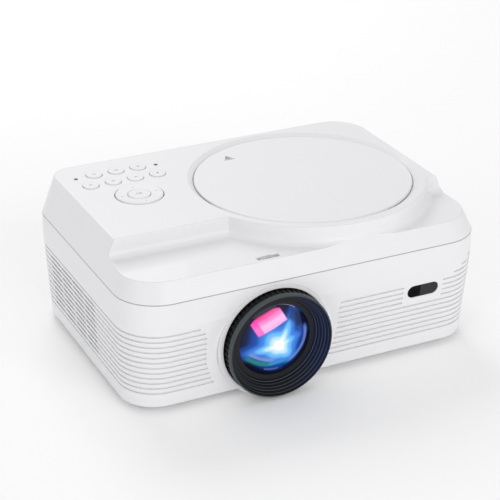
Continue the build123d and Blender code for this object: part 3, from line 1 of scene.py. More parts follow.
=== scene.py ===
"""Looks of a home projector that has a disc player under a round lid in its top.

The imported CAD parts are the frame. Each sub-assembly is a class that dresses its
own CAD nodes, and the lid and the keys also get the signs printed on them. The
small radii that a mould leaves on the shells are rounded in their finishes.
"""

import json
import logging
import math
from dataclasses import dataclass
from enum import Enum

import bmesh
import bpy
from mathutils import Matrix, Vector

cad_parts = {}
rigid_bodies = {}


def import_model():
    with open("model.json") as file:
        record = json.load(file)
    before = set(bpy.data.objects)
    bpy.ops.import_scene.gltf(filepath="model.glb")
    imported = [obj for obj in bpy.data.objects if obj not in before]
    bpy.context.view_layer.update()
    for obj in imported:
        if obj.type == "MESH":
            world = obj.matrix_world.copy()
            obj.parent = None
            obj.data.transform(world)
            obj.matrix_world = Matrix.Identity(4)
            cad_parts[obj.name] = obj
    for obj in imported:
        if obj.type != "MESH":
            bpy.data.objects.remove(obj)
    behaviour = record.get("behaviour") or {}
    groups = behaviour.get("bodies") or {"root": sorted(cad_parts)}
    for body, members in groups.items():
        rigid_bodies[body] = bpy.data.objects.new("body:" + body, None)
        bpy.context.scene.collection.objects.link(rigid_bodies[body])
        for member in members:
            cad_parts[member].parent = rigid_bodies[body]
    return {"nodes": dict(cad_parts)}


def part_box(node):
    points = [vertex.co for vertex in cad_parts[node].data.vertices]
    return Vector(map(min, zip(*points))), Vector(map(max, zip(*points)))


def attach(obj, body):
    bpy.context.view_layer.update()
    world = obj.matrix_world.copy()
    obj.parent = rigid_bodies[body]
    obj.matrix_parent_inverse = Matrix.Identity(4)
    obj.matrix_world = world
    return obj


LOG = logging.getLogger("projector")
MM = 0.001
MERGE_M = 1e-7
SHARP_DEGREES = 30
# the two colour inputs of a colour mix node, and its colour output
MIX_BELOW, MIX_ABOVE, MIX_OUT = 6, 7, 2

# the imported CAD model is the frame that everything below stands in
for leftover in list(bpy.data.objects):
    bpy.data.objects.remove(leftover)
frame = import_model()

Colour = tuple[float, float, float, float]
Socket = bpy.types.NodeSocket
Tree = bpy.types.NodeTree


# ---------------------------------------------------------------- small tools
def linear(code: str, share: float = 1.0) -> Colour:
    """Turn an sRGB hex value into linear light.

    Args:
        code: colour such as "#E8E8EA".
        share: how much of the colour's light is kept.

    Returns:
        The linear colour with an alpha of one.
    """
    tones = [int(code[at : at + 2], 16) / 255 for at in (1, 3, 5)]
    light = [t / 12.92 if t <= 0.04045 else ((t + 0.055) / 1.055) ** 2.4 for t in tones]
    return (light[0] * share, light[1] * share, light[2] * share, 1.0)


def add_node(tree: Tree, kind: str, inputs: dict | None = None, **settings) -> bpy.types.Node:
    """Add one node to a tree.

    Args:
        tree: the tree that gets the node.
        kind: Blender's name for the node's type.
        inputs: input name or number, with a socket to link or a value to set.
        settings: properties of the node itself.

    Returns:
        The new node.
    """
    node = tree.nodes.new(kind)
    for name, value in settings.items():
        setattr(node, name, value)
    for name, value in (inputs or {}).items():
        if isinstance(value, Socket):
            tree.links.new(value, node.inputs[name])
        else:
            node.inputs[name].default_value = value
    return node


def paint(piece: bpy.types.Object, material: bpy.types.Material) -> None:
    """Give a piece one material all over."""
    piece.data.materials.clear()
    piece.data.materials.append(material)


def make_piece(
    name: str, mesh: bmesh.types.BMesh, material: bpy.types.Material, body: str
) -> bpy.types.Object:
    """Turn a finished bmesh into a piece that rides on a body.

    Args:
        name: name of the piece.
        mesh: the shape, in the row frame, which is freed here.
        material: the finish of the piece.
        body: the CAD body it moves with.

    Returns:
        The new object.
    """
    bmesh.ops.remove_doubles(mesh, verts=mesh.verts, dist=MERGE_M)
    bmesh.ops.recalc_face_normals(mesh, faces=mesh.faces)
    data = bpy.data.meshes.new(name)
    mesh.to_mesh(data)
    mesh.free()
    data.set_sharp_from_angle(angle=math.radians(SHARP_DEGREES))
    piece = bpy.data.objects.new(name, data)
    bpy.context.scene.collection.objects.link(piece)
    paint(piece, material)
    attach(piece, body)
    LOG.info("made %s on %s", name, body)
    return piece


def centre_of(node: str) -> Vector:
    """Middle of a CAD node's box, in metres."""
    low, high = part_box(node)
    return (low + high) / 2


def top_of(node: str) -> Vector:
    """Middle of the top of a CAD node's box, in metres."""
    low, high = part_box(node)
    return Vector(((low.x + high.x) / 2, (low.y + high.y) / 2, high.z))


# ---------------------------------------------------------------- finishes
@dataclass(frozen=True)
class Finish:
    """One real material and the way its surface was made.

    The tone drifts a little over a few centimetres and the surface carries a
    fine grain, both from noise on object coordinates. An edge_mm above zero
    rounds the edges that the mould leaves round.
    """

    name: str
    colour: str
    roughness: float = 0.45
    metallic: float = 0.0
    specular: float = 0.5
    coat: float = 0.0
    transmission: float = 0.0
    grain_mm: float = 0.9
    grain_height_mm: float = 0.01
    grain_detail: float = 2.0
    grain_strength: float = 0.6
    drift_mm: float = 40.0
    drift: float = 0.03
    edge_mm: float = 0.0
    edge_samples: int = 6

    def build(self) -> bpy.types.Material:
        """Make the material once and hand the same one out again.

        Returns:
            The material.
        """
        ready = bpy.data.materials.get(self.name)
        if ready is not None:
            return ready
        material = bpy.data.materials.new(self.name)
        material.use_nodes = True
        tree = material.node_tree
        shader = tree.nodes["Principled BSDF"]
        shader.inputs["Base Color"].default_value = linear(self.colour)
        shader.inputs["Roughness"].default_value = self.roughness
        shader.inputs["Metallic"].default_value = self.metallic
        shader.inputs["Specular IOR Level"].default_value = self.specular
        shader.inputs["Coat Weight"].default_value = self.coat
        shader.inputs["Transmission Weight"].default_value = self.transmission
        place = add_node(tree, "ShaderNodeTexCoord").outputs["Object"]
        self.pattern(tree, shader, place)
        return material

    def pattern(self, tree: Tree, shader: bpy.types.Node, place: Socket) -> None:
        """Add the drift of tone and the grain, both from object coordinates."""
        self.tint(tree, shader, self.drifting(tree, place))
        self.grain(tree, shader, place)

    def drifting(self, tree: Tree, place: Socket) -> Socket:
        """The colour, a shade darker and lighter from place to place.

        Args:
            tree: the material's node tree.
            place: object coordinates in metres.

        Returns:
            The colour.
        """
        blotches = {"Vector": place, "Scale": 1 / (self.drift_mm * MM), "Detail": self.grain_detail}
        shade = add_node(tree, "ShaderNodeTexNoise", blotches).outputs["Fac"]
        tones = {
            "Factor": shade,
            MIX_BELOW: linear(self.colour, 1 - self.drift),
            MIX_ABOVE: linear(self.colour, 1 + self.drift),
        }
        return add_node(tree, "ShaderNodeMix", tones, data_type="RGBA").outputs[MIX_OUT]

    def tint(self, tree: Tree, shader: bpy.types.Node, colour: Socket) -> None:
        """Lead a colour to the shader."""
        tree.links.new(colour, shader.inputs["Base Color"])

    def grain(self, tree: Tree, shader: bpy.types.Node, place: Socket) -> None:
        """Give the surface its fine grain, from object coordinates."""
        specks = {"Vector": place, "Scale": 1 / (self.grain_mm * MM), "Detail": self.grain_detail}
        self.raise_by(tree, shader, add_node(tree, "ShaderNodeTexNoise", specks).outputs["Fac"])

    def raise_by(self, tree: Tree, shader: bpy.types.Node, height: Socket) -> None:
        """Lead a height pattern, and any rounded edges, to the shader's normal.

        Args:
            tree: the material's node tree.
            shader: its principled shader.
            height: the pattern, from zero to one for the full height.
        """
        reach = {"Height": height, "Distance": self.grain_height_mm * MM, "Strength": self.grain_strength}
        made = add_node(tree, "ShaderNodeBump", reach)
        if self.edge_mm:
            radius = {"Radius": self.edge_mm * MM}
            rounded = add_node(tree, "ShaderNodeBevel", radius, samples=self.edge_samples)
            tree.links.new(rounded.outputs["Normal"], made.inputs["Normal"])
        tree.links.new(made.outputs["Normal"], shader.inputs["Normal"])


@dataclass(frozen=True)
class BrushedMetal(Finish):
    """Sheet or bar that was brushed or turned, with fine lines one way."""

    metallic: float = 1.0
    line_mm: float = 0.6
    line_detail: float = 3.0
    stretch: tuple[float, float, float] = (0.04, 1.0, 1.0)

    def pattern(self, tree: Tree, shader: bpy.types.Node, place: Socket) -> None:
        """Add long fine lines to tone and height.

        Args:
            tree: the material's node tree.
            shader: its principled shader.
            place: object coordinates in metres.
        """
        pulled = {"Vector": place, "Scale": self.stretch}
        drawn = add_node(tree, "ShaderNodeMapping", pulled).outputs["Vector"]
        self.tint(tree, shader, self.drifting(tree, drawn))
        lines = {"Vector": drawn, "Scale": 1 / (self.line_mm * MM), "Detail": self.line_detail}
        self.raise_by(tree, shader, add_node(tree, "ShaderNodeTexNoise", lines).outputs["Fac"])


@dataclass(frozen=True)
class CircuitBoard(Finish):
    """Glass-fibre laminate under green solder mask, with copper tracks below it."""

    track: str = "#2F6B43"
    track_mm: float = 3.2
    track_share: float = 0.06
    track_length: float = 2.6
    track_pitch: float = 0.5
    darker: float = 0.85

    def pattern(self, tree: Tree, shader: bpy.types.Node, place: Socket) -> None:
        """Add straight tracks that show through the mask.

        Args:
            tree: the material's node tree.
            shader: its principled shader.
            place: object coordinates in metres.
        """
        rows = add_node(
            tree,
            "ShaderNodeTexBrick",
            {
                "Vector": place,
                "Color1": linear(self.colour),
                "Color2": linear(self.colour, self.darker),
                "Mortar": linear(self.track),
                "Scale": 1 / (self.track_mm * MM),
                "Mortar Size": self.track_share,
                "Brick Width": self.track_length,
                "Row Height": self.track_pitch,
            },
        )
        self.tint(tree, shader, rows.outputs["Color"])
        self.raise_by(tree, shader, rows.outputs["Fac"])


@dataclass(frozen=True)
class RingedPlastic(Finish):
    """Black moulded plastic with painted light on it: a painted grey highlight round its nose, painted
    highlights on the baffle ridges and painted blue light in its mouth.

    The spill of blue light starts and is full at shares of the ring's radius,
    to the right of its axis.
    """

    # painted highlight: the grey band where light catches the nose
    nose: str = "#474D51"
    nose_length_mm: float = 3.4
    nose_drop_mm: float = 1.1
    mouth_drop_mm: float = 1.2
    paint_edge_mm: float = 0.05
    mouth_edge_mm: float = 0.1
    # painted highlights: grey lines where light catches the baffle ridges
    line: str = "#43474D"
    line_pitch_mm: float = 1.9
    line_edges: tuple[float, float] = (0.2, 0.8)
    # painted blue light that spills from the lens into the mouth
    spill: str = "#0E1B40"
    spill_edges: tuple[float, float] = (0.3, 0.8)

    def pattern(self, tree: Tree, shader: bpy.types.Node, place: Socket) -> None:
        """Split the ring into nose, outside and mouth by its own turned shape, and paint its highlights and
        blue light there.

        Args:
            tree: the material's node tree.
            shader: its principled shader.
            place: object coordinates in metres.
        """
        low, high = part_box("focus_ring")
        axis, radius = centre_of("focus_ring"), (high.x - low.x) / 2
        centred = add_node(tree, "ShaderNodeVectorMath", {0: place, 1: axis}, operation="SUBTRACT")
        across = {0: centred.outputs["Vector"], 1: (1, 0, 1)}
        flat = add_node(tree, "ShaderNodeVectorMath", across, operation="MULTIPLY").outputs["Vector"]
        away = add_node(tree, "ShaderNodeVectorMath", {0: flat}, operation="LENGTH").outputs["Value"]
        parts = add_node(tree, "ShaderNodeSeparateXYZ", {"Vector": place})
        turns = {0: parts.outputs["Y"], 1: 2 * math.pi / (self.line_pitch_mm * MM)}
        phase = add_node(tree, "ShaderNodeMath", turns, operation="MULTIPLY").outputs["Value"]
        wave = add_node(tree, "ShaderNodeMath", {0: phase}, operation="SINE").outputs["Value"]

        nose_radius, nose_end = radius - self.nose_drop_mm * MM, low.y + self.nose_length_mm * MM
        mouth_radius = radius - self.mouth_drop_mm * MM
        paint_edge, mouth_edge = self.paint_edge_mm * MM, self.mouth_edge_mm * MM
        right, far_right = (axis.x + share * radius for share in self.spill_edges)
        masks = {}
        for name, measure, start, end in (
            ("outside", away, nose_radius - paint_edge, nose_radius + paint_edge),
            ("front", parts.outputs["Y"], nose_end + paint_edge, nose_end - paint_edge),
            ("mouth", away, mouth_radius + mouth_edge, mouth_radius - mouth_edge),
            ("line", wave, *self.line_edges),
            ("right", parts.outputs["X"], right, far_right),
        ):
            ends = {"Value": measure, "From Min": start, "From Max": end}
            masks[name] = add_node(tree, "ShaderNodeMapRange", ends).outputs["Result"]

        tone = self.drifting(tree, place)
        # lays the painted blue light, the painted highlights on the ridges and the painted highlight on the
        # nose
        for code, first, second in (
            (self.spill, "right", "mouth"),
            (self.line, "line", "mouth"),
            (self.nose, "outside", "front"),
        ):
            both = add_node(tree, "ShaderNodeMath", {0: masks[first], 1: masks[second]}, operation="MULTIPLY")
            layers = {"Factor": both.outputs["Value"], MIX_BELOW: tone, MIX_ABOVE: linear(code)}
            tone = add_node(tree, "ShaderNodeMix", layers, data_type="RGBA").outputs[MIX_OUT]
        self.tint(tree, shader, tone)
        self.grain(tree, shader, place)


@dataclass(frozen=True)
class ShellPlastic(Finish):
    """White shell plastic with a thin painted shade line in the gap where the two halves meet."""

    seam_shade_mm: float = 0.2
    seam_shade: str = "#B4B5B9"

    def pattern(self, tree: Tree, shader: bpy.types.Node, place: Socket) -> None:
        """Add the painted shade along the parting gap at the top of the lower shell.

        Args:
            tree: the material's node tree.
            shader: its principled shader.
            place: object coordinates in metres.
        """
        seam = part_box("lower_case")[1].z
        height = add_node(tree, "ShaderNodeSeparateXYZ", {"Vector": place}).outputs["Z"]
        above = add_node(tree, "ShaderNodeMath", {0: height, 1: seam}, operation="SUBTRACT").outputs["Value"]
        off = add_node(tree, "ShaderNodeMath", {0: above}, operation="ABSOLUTE").outputs["Value"]
        # painted shade: the shell is darkened in a thin line along the gap between the halves
        ends = {"Value": off, "From Min": 2 * self.seam_shade_mm * MM, "From Max": self.seam_shade_mm * MM}
        mask = add_node(tree, "ShaderNodeMapRange", ends).outputs["Result"]
        layers = {"Factor": mask, MIX_BELOW: self.drifting(tree, place), MIX_ABOVE: linear(self.seam_shade)}
        self.tint(tree, shader, add_node(tree, "ShaderNodeMix", layers, data_type="RGBA").outputs[MIX_OUT])
        self.grain(tree, shader, place)


@dataclass(frozen=True)
class TwoToneWindow(Finish):
    """Dark acrylic that passes infrared: black over the diode, grey beside it."""

    second: str = "#36373A"
    split: float = 0.42
    split_edge_mm: float = 0.3

    def pattern(self, tree: Tree, shader: bpy.types.Node, place: Socket) -> None:
        """Change tone across the window's length.

        Args:
            tree: the material's node tree.
            shader: its principled shader.
            place: object coordinates in metres.
        """
        low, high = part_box("ir_window")
        middle, edge = low.x + (high.x - low.x) * self.split, self.split_edge_mm * MM
        across = add_node(tree, "ShaderNodeSeparateXYZ", {"Vector": place}).outputs["X"]
        ends = {"Value": across, "From Min": middle - edge, "From Max": middle + edge}
        mask = add_node(tree, "ShaderNodeMapRange", ends).outputs["Result"]
        tones = {"Factor": mask, MIX_BELOW: linear(self.colour), MIX_ABOVE: linear(self.second)}
        self.tint(tree, shader, add_node(tree, "ShaderNodeMix", tones, data_type="RGBA").outputs[MIX_OUT])
        self.grain(tree, shader, place)


@dataclass(frozen=True)
class Arc:
    """A painted crescent inside the lens: a pale one is a reflection that a coated surface throws, a dark one
    is painted shade over the glow.

    Its light is full within solid of its width, and from end_share of the
    way to its two ends.
    """

    colour: str
    radius: float
    width: float
    start: float
    end: float
    light: float = 1.0
    centre: tuple[float, float] = (0.0, 0.0)
    solid: float = 0.35
    end_share: float = 0.5


@dataclass(frozen=True)
class CoatedGlass(Finish):
    """Crown glass with a magenta and blue multi-layer coating, lamp on behind it; all its colour is painted
    light, given out as emission.

    Sizes are in mm from the lens axis, x to the right and z up, and angles in
    degrees from the right, anticlockwise. A tone is (distance, colour), and a
    ray is (angle, sharpness, light).
    """

    # painted light: the deep blue that fills the lens, brightest at its middle
    blue_glow_tones: tuple[tuple[float, str], ...] = (
        (0.0, "#1B4FB4"),
        (10.6, "#16439C"),
        (16.8, "#0E2B70"),
        (21.6, "#0A1840"),
        (24.7, "#070B1C"),
    )
    core: tuple[float, float] = (0.9, -2.6)
    glow_tones: tuple[tuple[float, str], ...] = (
        (0.0, "#FFFFFF"),
        (2.5, "#FFFFFF"),
        (4.8, "#C4ECFF"),
        (7.6, "#6FBCFA"),
        (11.0, "#3478D8"),
        (15.4, "#123A88"),
        (21.2, "#000000"),
    )
    glow_light: float = 1.0
    rays: tuple[tuple[float, float, float], ...] = (
        (56.0, 36.0, 0.75),
        (62.0, 160.0, 0.4),
        (188.0, 40.0, 0.9),
        (-49.0, 16.0, 0.55),
        (14.0, 50.0, 0.3),
        (130.0, 10.0, 0.3),
    )
    ray_reach: float = 0.8
    arcs: tuple[Arc, ...] = (
        # the three dark arcs are painted shade, the pale ones painted reflections
        Arc("#0A1024", 19.9, 5.3, 22.0, 62.0, 0.7),
        Arc("#0B0C12", 23.8, 4.4, -80.0, -24.0, 0.9),
        Arc("#080C20", 22.4, 1.8, 208.0, 262.0, 0.8),
        Arc("#8592CC", 27.0, 1.7, 224.0, 268.0, 0.8, (0.4, 14.1)),
        Arc("#148477", 30.4, 2.2, 225.0, 268.0, 0.95, (0.4, 14.1)),
        Arc("#2A9CC4", 30.0, 1.9, 258.0, 286.0, 0.75, (0.4, 14.1)),
        Arc("#5C68A8", 20.7, 1.1, 246.0, 278.0, 0.75),
        Arc("#7489D2", 19.6, 1.8, -74.0, 18.0, 0.72, (1.8, 1.8)),
        Arc("#B9A7D6", 24.4, 0.3, 52.0, 88.0, 0.8),
    )
    # painted reflection of a pink softbox in the coating: where it lies and its tones
    reflection_centre: tuple[float, float] = (-5.2, 14.9)
    reflection_half: tuple[float, float] = (10.9, 5.7)
    reflection_soft: tuple[float, float] = (0.5, 0.6)
    reflection_turn: float = 21.0
    reflection_lean: float = 0.13
    reflection_rim: float = 22.3
    reflection_rim_soft: float = 0.4
    reflection_tones: tuple[tuple[float, str], ...] = (
        (0.0, "#FFB2EA"),
        (0.35, "#FFC4F0"),
        (0.62, "#FF8FD2"),
        (0.86, "#FF4FA8"),
        (1.0, "#F4257C"),
    )
    reflection_end: str = "#FF3FBE"
    reflection_end_edges: tuple[float, float] = (-0.56, -0.62)
    reflection_end_share: float = 0.7

    def pattern(self, tree: Tree, shader: bpy.types.Node, place: Socket) -> None:
        """Paint the lamp's glow with its rays, the arcs and the pink reflection over deep blue light, all as
        emission.

        Args:
            tree: the material's node tree.
            shader: its principled shader.
            place: object coordinates in metres.
        """
        axis = centre_of("front_lens")
        moved = {"Vector": place, "Location": (-axis.x / MM, 0, -axis.z / MM), "Scale": (1 / MM, 0, 1 / MM)}
        centred = add_node(tree, "ShaderNodeMapping", moved).outputs["Vector"]
        away = self.length_from(tree, centred, (0.0, 0.0))
        layers = {
            "Factor": 1.0,
            MIX_BELOW: self.toned(tree, away, self.blue_glow_tones),
            MIX_ABOVE: self.glow(tree, centred),
        }
        screened = add_node(tree, "ShaderNodeMix", layers, data_type="RGBA", blend_type="SCREEN")
        lit = screened.outputs[MIX_OUT]
        for arc in self.arcs:
            layers = {
                "Factor": self.arc_mask(tree, centred, arc),
                MIX_BELOW: lit,
                MIX_ABOVE: linear(arc.colour),
            }
            lit = add_node(tree, "ShaderNodeMix", layers, data_type="RGBA").outputs[MIX_OUT]
        lit = self.painted_reflection(tree, lit, centred, away)
        # everything above is painted light, emitted whatever lamps shine on the glass
        tree.links.new(lit, shader.inputs["Emission Color"])
        shader.inputs["Emission Strength"].default_value = self.glow_light

    def length_from(self, tree: Tree, centred: Socket, spot: tuple[float, float]) -> Socket:
        """Distance from a spot on the glass.

        Args:
            tree: the material's node tree.
            centred: place on the glass in mm from its axis.
            spot: the spot, x and z in mm.

        Returns:
            The distance in mm.
        """
        ends = {0: centred, 1: (spot[0], 0, spot[1])}
        apart = add_node(tree, "ShaderNodeVectorMath", ends, operation="SUBTRACT").outputs["Vector"]
        return add_node(tree, "ShaderNodeVectorMath", {0: apart}, operation="LENGTH").outputs["Value"]

    def angle_about(self, tree: Tree, centred: Socket, spot: tuple[float, float]) -> Socket:
        """Angle round a spot on the glass.

        Args:
            tree: the material's node tree.
            centred: place on the glass in mm from its axis.
            spot: the spot, x and z in mm.

        Returns:
            The angle in radians, from the right and anticlockwise.
        """
        ends = {0: centred, 1: (spot[0], 0, spot[1])}
        apart = add_node(tree, "ShaderNodeVectorMath", ends, operation="SUBTRACT").outputs["Vector"]
        parts = add_node(tree, "ShaderNodeSeparateXYZ", {"Vector": apart}).outputs
        sides = {0: parts["Z"], 1: parts["X"]}
        return add_node(tree, "ShaderNodeMath", sides, operation="ARCTAN2").outputs["Value"]

    def toned(self, tree: Tree, distance: Socket, tones: tuple[tuple[float, str], ...]) -> Socket:
        """Colour by distance, eased from one tone to the next.

        Args:
            tree: the material's node tree.
            distance: the distance.
            tones: distances with their colours, nearest first.

        Returns:
            The colour.
        """
        reach = tones[-1][0]
        share = add_node(tree, "ShaderNodeMath", {0: distance, 1: reach}, operation="DIVIDE").outputs["Value"]
        node = add_node(tree, "ShaderNodeValToRGB", {"Fac": share})
        stops = node.color_ramp
        stops.interpolation = "EASE"
        while len(stops.elements) < len(tones):
            stops.elements.new(0.5)
        for stop, (at, _) in zip(stops.elements, tones):
            stop.position = at / reach
        for stop, (_, code) in zip(stops.elements, tones):
            stop.color = linear(code)
        return node.outputs["Color"]

    def glow(self, tree: Tree, centred: Socket) -> Socket:
        """Painted light round the core, which reaches further along each ray.

        Args:
            tree: the material's node tree.
            centred: place on the glass in mm from its axis.

        Returns:
            The colour of the light.
        """
        angle = self.angle_about(tree, centred, self.core)
        stretch = 1.0
        for middle, sharpness, light in self.rays:
            lobe = self.lobe(tree, angle, middle, sharpness)
            longer = {0: lobe, 1: light * self.ray_reach, 2: stretch}
            stretch = add_node(tree, "ShaderNodeMath", longer, operation="MULTIPLY_ADD").outputs["Value"]
        away = self.length_from(tree, centred, self.core)
        near = add_node(tree, "ShaderNodeMath", {0: away, 1: stretch}, operation="DIVIDE").outputs["Value"]
        return self.toned(tree, near, self.glow_tones)

    def lobe(self, tree: Tree, angle: Socket, middle: float, sharpness: float) -> Socket:
        """One at an angle, falling off to both sides.

        Args:
            tree: the material's node tree.
            angle: the angle in radians.
            middle: where the lobe is, in degrees.
            sharpness: how fast it falls off.

        Returns:
            The lobe's strength.
        """
        turned = add_node(tree, "ShaderNodeMath", {0: angle, 1: math.radians(middle)}, operation="SUBTRACT")
        wave = add_node(tree, "ShaderNodeMath", {0: turned.outputs["Value"]}, operation="COSINE")
        top = add_node(tree, "ShaderNodeMath", {0: wave.outputs["Value"], 1: 0.0}, operation="MAXIMUM")
        fall = {0: top.outputs["Value"], 1: sharpness}
        return add_node(tree, "ShaderNodeMath", fall, operation="POWER").outputs["Value"]

    def arc_mask(self, tree: Tree, centred: Socket, arc: Arc) -> Socket:
        """The arc's light along its length, soft at its sides and ends.

        Args:
            tree: the material's node tree.
            centred: place on the glass in mm from its axis.
            arc: the arc.

        Returns:
            The mask, zero off the arc.
        """
        away = self.length_from(tree, centred, arc.centre)
        past = add_node(tree, "ShaderNodeMath", {0: away, 1: arc.radius}, operation="SUBTRACT")
        off = add_node(tree, "ShaderNodeMath", {0: past.outputs["Value"]}, operation="ABSOLUTE")
        angle = self.angle_about(tree, centred, arc.centre)
        near = self.lobe(tree, angle, (arc.start + arc.end) / 2, 1.0)
        at_end = math.cos(math.radians(arc.end - arc.start) / 2)
        mask = arc.light
        for measure, start, full in (
            (off.outputs["Value"], arc.width, arc.width * arc.solid),
            (near, at_end, 1 - (1 - at_end) * arc.end_share),
        ):
            ends = {"Value": measure, "From Min": start, "From Max": full}
            eased = add_node(tree, "ShaderNodeMapRange", ends, interpolation_type="SMOOTHSTEP")
            both = {0: eased.outputs["Result"], 1: mask}
            mask = add_node(tree, "ShaderNodeMath", both, operation="MULTIPLY").outputs["Value"]
        return mask

    def painted_reflection(self, tree: Tree, below: Socket, centred: Socket, away: Socket) -> Socket:
        """A painted reflection of a pink softbox in the coating, a soft slanted oblong at the upper left.

        Args:
            tree: the material's node tree.
            below: the colour under the painted reflection.
            centred: place on the glass in mm from its axis.
            away: distance from the axis in mm.

        Returns:
            The colour with the painted reflection over it.
        """
        ends = {0: centred, 1: (self.reflection_centre[0], 0, self.reflection_centre[1])}
        shifted = add_node(tree, "ShaderNodeVectorMath", ends, operation="SUBTRACT").outputs["Vector"]
        turn = {"Vector": shifted, "Axis": (0, 1, 0), "Angle": math.radians(self.reflection_turn)}
        turned = add_node(tree, "ShaderNodeVectorRotate", turn, rotation_type="AXIS_ANGLE").outputs["Vector"]
        parts = add_node(tree, "ShaderNodeSeparateXYZ", {"Vector": turned}).outputs
        slant = {0: parts["Z"], 1: self.reflection_lean, 2: parts["X"]}
        along = add_node(tree, "ShaderNodeMath", slant, operation="MULTIPLY_ADD").outputs["Value"]

        mask = 1.0
        for measure, half, soft in (
            (along, self.reflection_half[0], self.reflection_soft[0]),
            (parts["Z"], self.reflection_half[1], self.reflection_soft[1]),
            (away, self.reflection_rim, self.reflection_rim_soft),
        ):
            off = add_node(tree, "ShaderNodeMath", {0: measure}, operation="ABSOLUTE").outputs["Value"]
            ends = {"Value": off, "From Min": half + soft, "From Max": half - soft}
            eased = add_node(tree, "ShaderNodeMapRange", ends, interpolation_type="SMOOTHSTEP")
            both = {0: eased.outputs["Result"], 1: mask}
            mask = add_node(tree, "ShaderNodeMath", both, operation="MULTIPLY").outputs["Value"]

        height = {"Value": parts["Z"], "From Min": -self.reflection_half[1], "From Max": self.reflection_half[1]}
        up = add_node(tree, "ShaderNodeMapRange", height).outputs["Result"]
        start, full = (share * self.reflection_half[0] for share in self.reflection_end_edges)
        ends = {"Value": along, "From Min": start, "From Max": full, "To Max": self.reflection_end_share}
        left = add_node(tree, "ShaderNodeMapRange", ends, interpolation_type="SMOOTHSTEP")
        layers = {
            "Factor": left.outputs["Result"],
            MIX_BELOW: self.toned(tree, up, self.reflection_tones),
            MIX_ABOVE: linear(self.reflection_end),
        }
        pink = add_node(tree, "ShaderNodeMix", layers, data_type="RGBA").outputs[MIX_OUT]
        layers = {"Factor": mask, MIX_BELOW: below, MIX_ABOVE: pink}
        return add_node(tree, "ShaderNodeMix", layers, data_type="RGBA").outputs[MIX_OUT]


# ABS shell moulded in a spark-eroded tool: cool white, satin, soft highlights
SHELL_ABS = ShellPlastic(
    "moulded_abs_white", "#ECECEE", 0.38, specular=0.4, coat=0.1, drift=0.012, edge_mm=0.9
)
# ABS from a polished tool for the lid and keys: a shade whiter, with tighter edges
POLISHED_ABS = Finish(
    "polished_abs_white", "#EEEEF0", 0.45, specular=0.35, coat=0.04, drift=0.01, edge_mm=0.6
)
# black polycarbonate of the ring: low gloss, with a painted highlight on its nose, painted highlights on the
# turned ridges in its mouth and painted blue light there
RING_BLACK = RingedPlastic("turned_black_polycarbonate", "#060709", 0.42, specular=0.12, drift=0.1)
# glass-filled black nylon inside: dull and slightly grey
DULL_BLACK = Finish(
    "glass_filled_nylon_black", "#1A1B1D", 0.62, specular=0.3, grain_height_mm=0.03, drift=0.08
)
# black ABS off a polished tool: the turntable and the socket panel mirror a little
GLOSS_BLACK = Finish("gloss_abs_black", "#121315", 0.28, specular=0.4, drift=0.05)
# coated crown glass: nearly black by itself; the lamp's glow through it, the reflections and shade inside it
# and a pink reflection are painted on as emitted light
FRONT_GLASS = CoatedGlass("coated_crown_glass", "#05070E", 0.05, specular=0.2)
# uncoated optical glass, clear with a green cast at the edge
CLEAR_GLASS = Finish(
    "optical_glass_clear", "#F2FBF8", 0.02, transmission=1.0, grain_height_mm=0.0005, drift=0.01
)
# acrylic that is dark to the eye: glossy and deep black
IR_ACRYLIC = TwoToneWindow("infrared_acrylic", "#030304", 0.2, specular=0.08, grain_height_mm=0.002)
# turned steel pins, rods and screws: bright, with fine drawn lines
STEEL = BrushedMetal("turned_bright_steel", "#C4C7CB", 0.3, grain_height_mm=0.01)
# zinc-coated sheet: greyer and duller, with broader rolling lines
PRESSED_STEEL = BrushedMetal(
    "galvanised_sheet_steel", "#AEB3B8", 0.42, grain_height_mm=0.015, line_mm=1.2
)
# extruded aluminium: pale, with die lines along it
ALUMINIUM = BrushedMetal("extruded_aluminium", "#D3D6D9", 0.38, grain_height_mm=0.01)
# turned brass insert: warm and bright
BRASS = BrushedMetal("turned_brass", "#C9A25A", 0.32, grain_height_mm=0.01)
# silver on the front of the glass: a clean mirror
SILVERED = BrushedMetal("front_silvered_mirror", "#E8EBEE", 0.04, grain_height_mm=0.0005)
# green solder mask: half gloss, with the tracks as a paler green
MASKED_BOARD = CircuitBoard("solder_masked_laminate", "#1E4F33", 0.4, grain_height_mm=0.02)
# nitrile rubber feet: matt, with a slight bloom
RUBBER = Finish("nitrile_rubber", "#242527", 0.8, specular=0.25, grain_height_mm=0.04, drift=0.1)
# acetal sliders: mid grey and slightly waxy
GREY_ACETAL = Finish("acetal_grey", "#5A5D61", 0.45, grain_height_mm=0.01, drift=0.04)
# the dial's edge barely shows in its slot: pale grey and matt
PALE_ACETAL = Finish("acetal_pale_grey", "#C6C8CB", 0.5, grain_height_mm=0.01, drift=0.04)
# silicone switch domes: milky and soft looking
SILICONE = Finish("silicone_translucent", "#B9BBBE", 0.5, grain_height_mm=0.01, drift=0.04)
# smoked acrylic light pipes: two dark glossy dots
SMOKED_PIPE = Finish("smoked_light_pipe", "#3A3B3E", 0.2, grain_height_mm=0.002, drift=0.05)
# the unlit display panel: dark blue-grey glass
LCD_GLASS = Finish("display_panel_glass", "#22303A", 0.08, grain_height_mm=0.001, drift=0.1)
# pad-printed ink: flat warm grey that sits on the plastic
INK = Finish("pad_printed_ink", "#9EA0A4", 0.6, specular=0.3, grain_height_mm=0.002, drift=0.05)


# ---------------------------------------------------------------- printed signs
PEN = 0.36


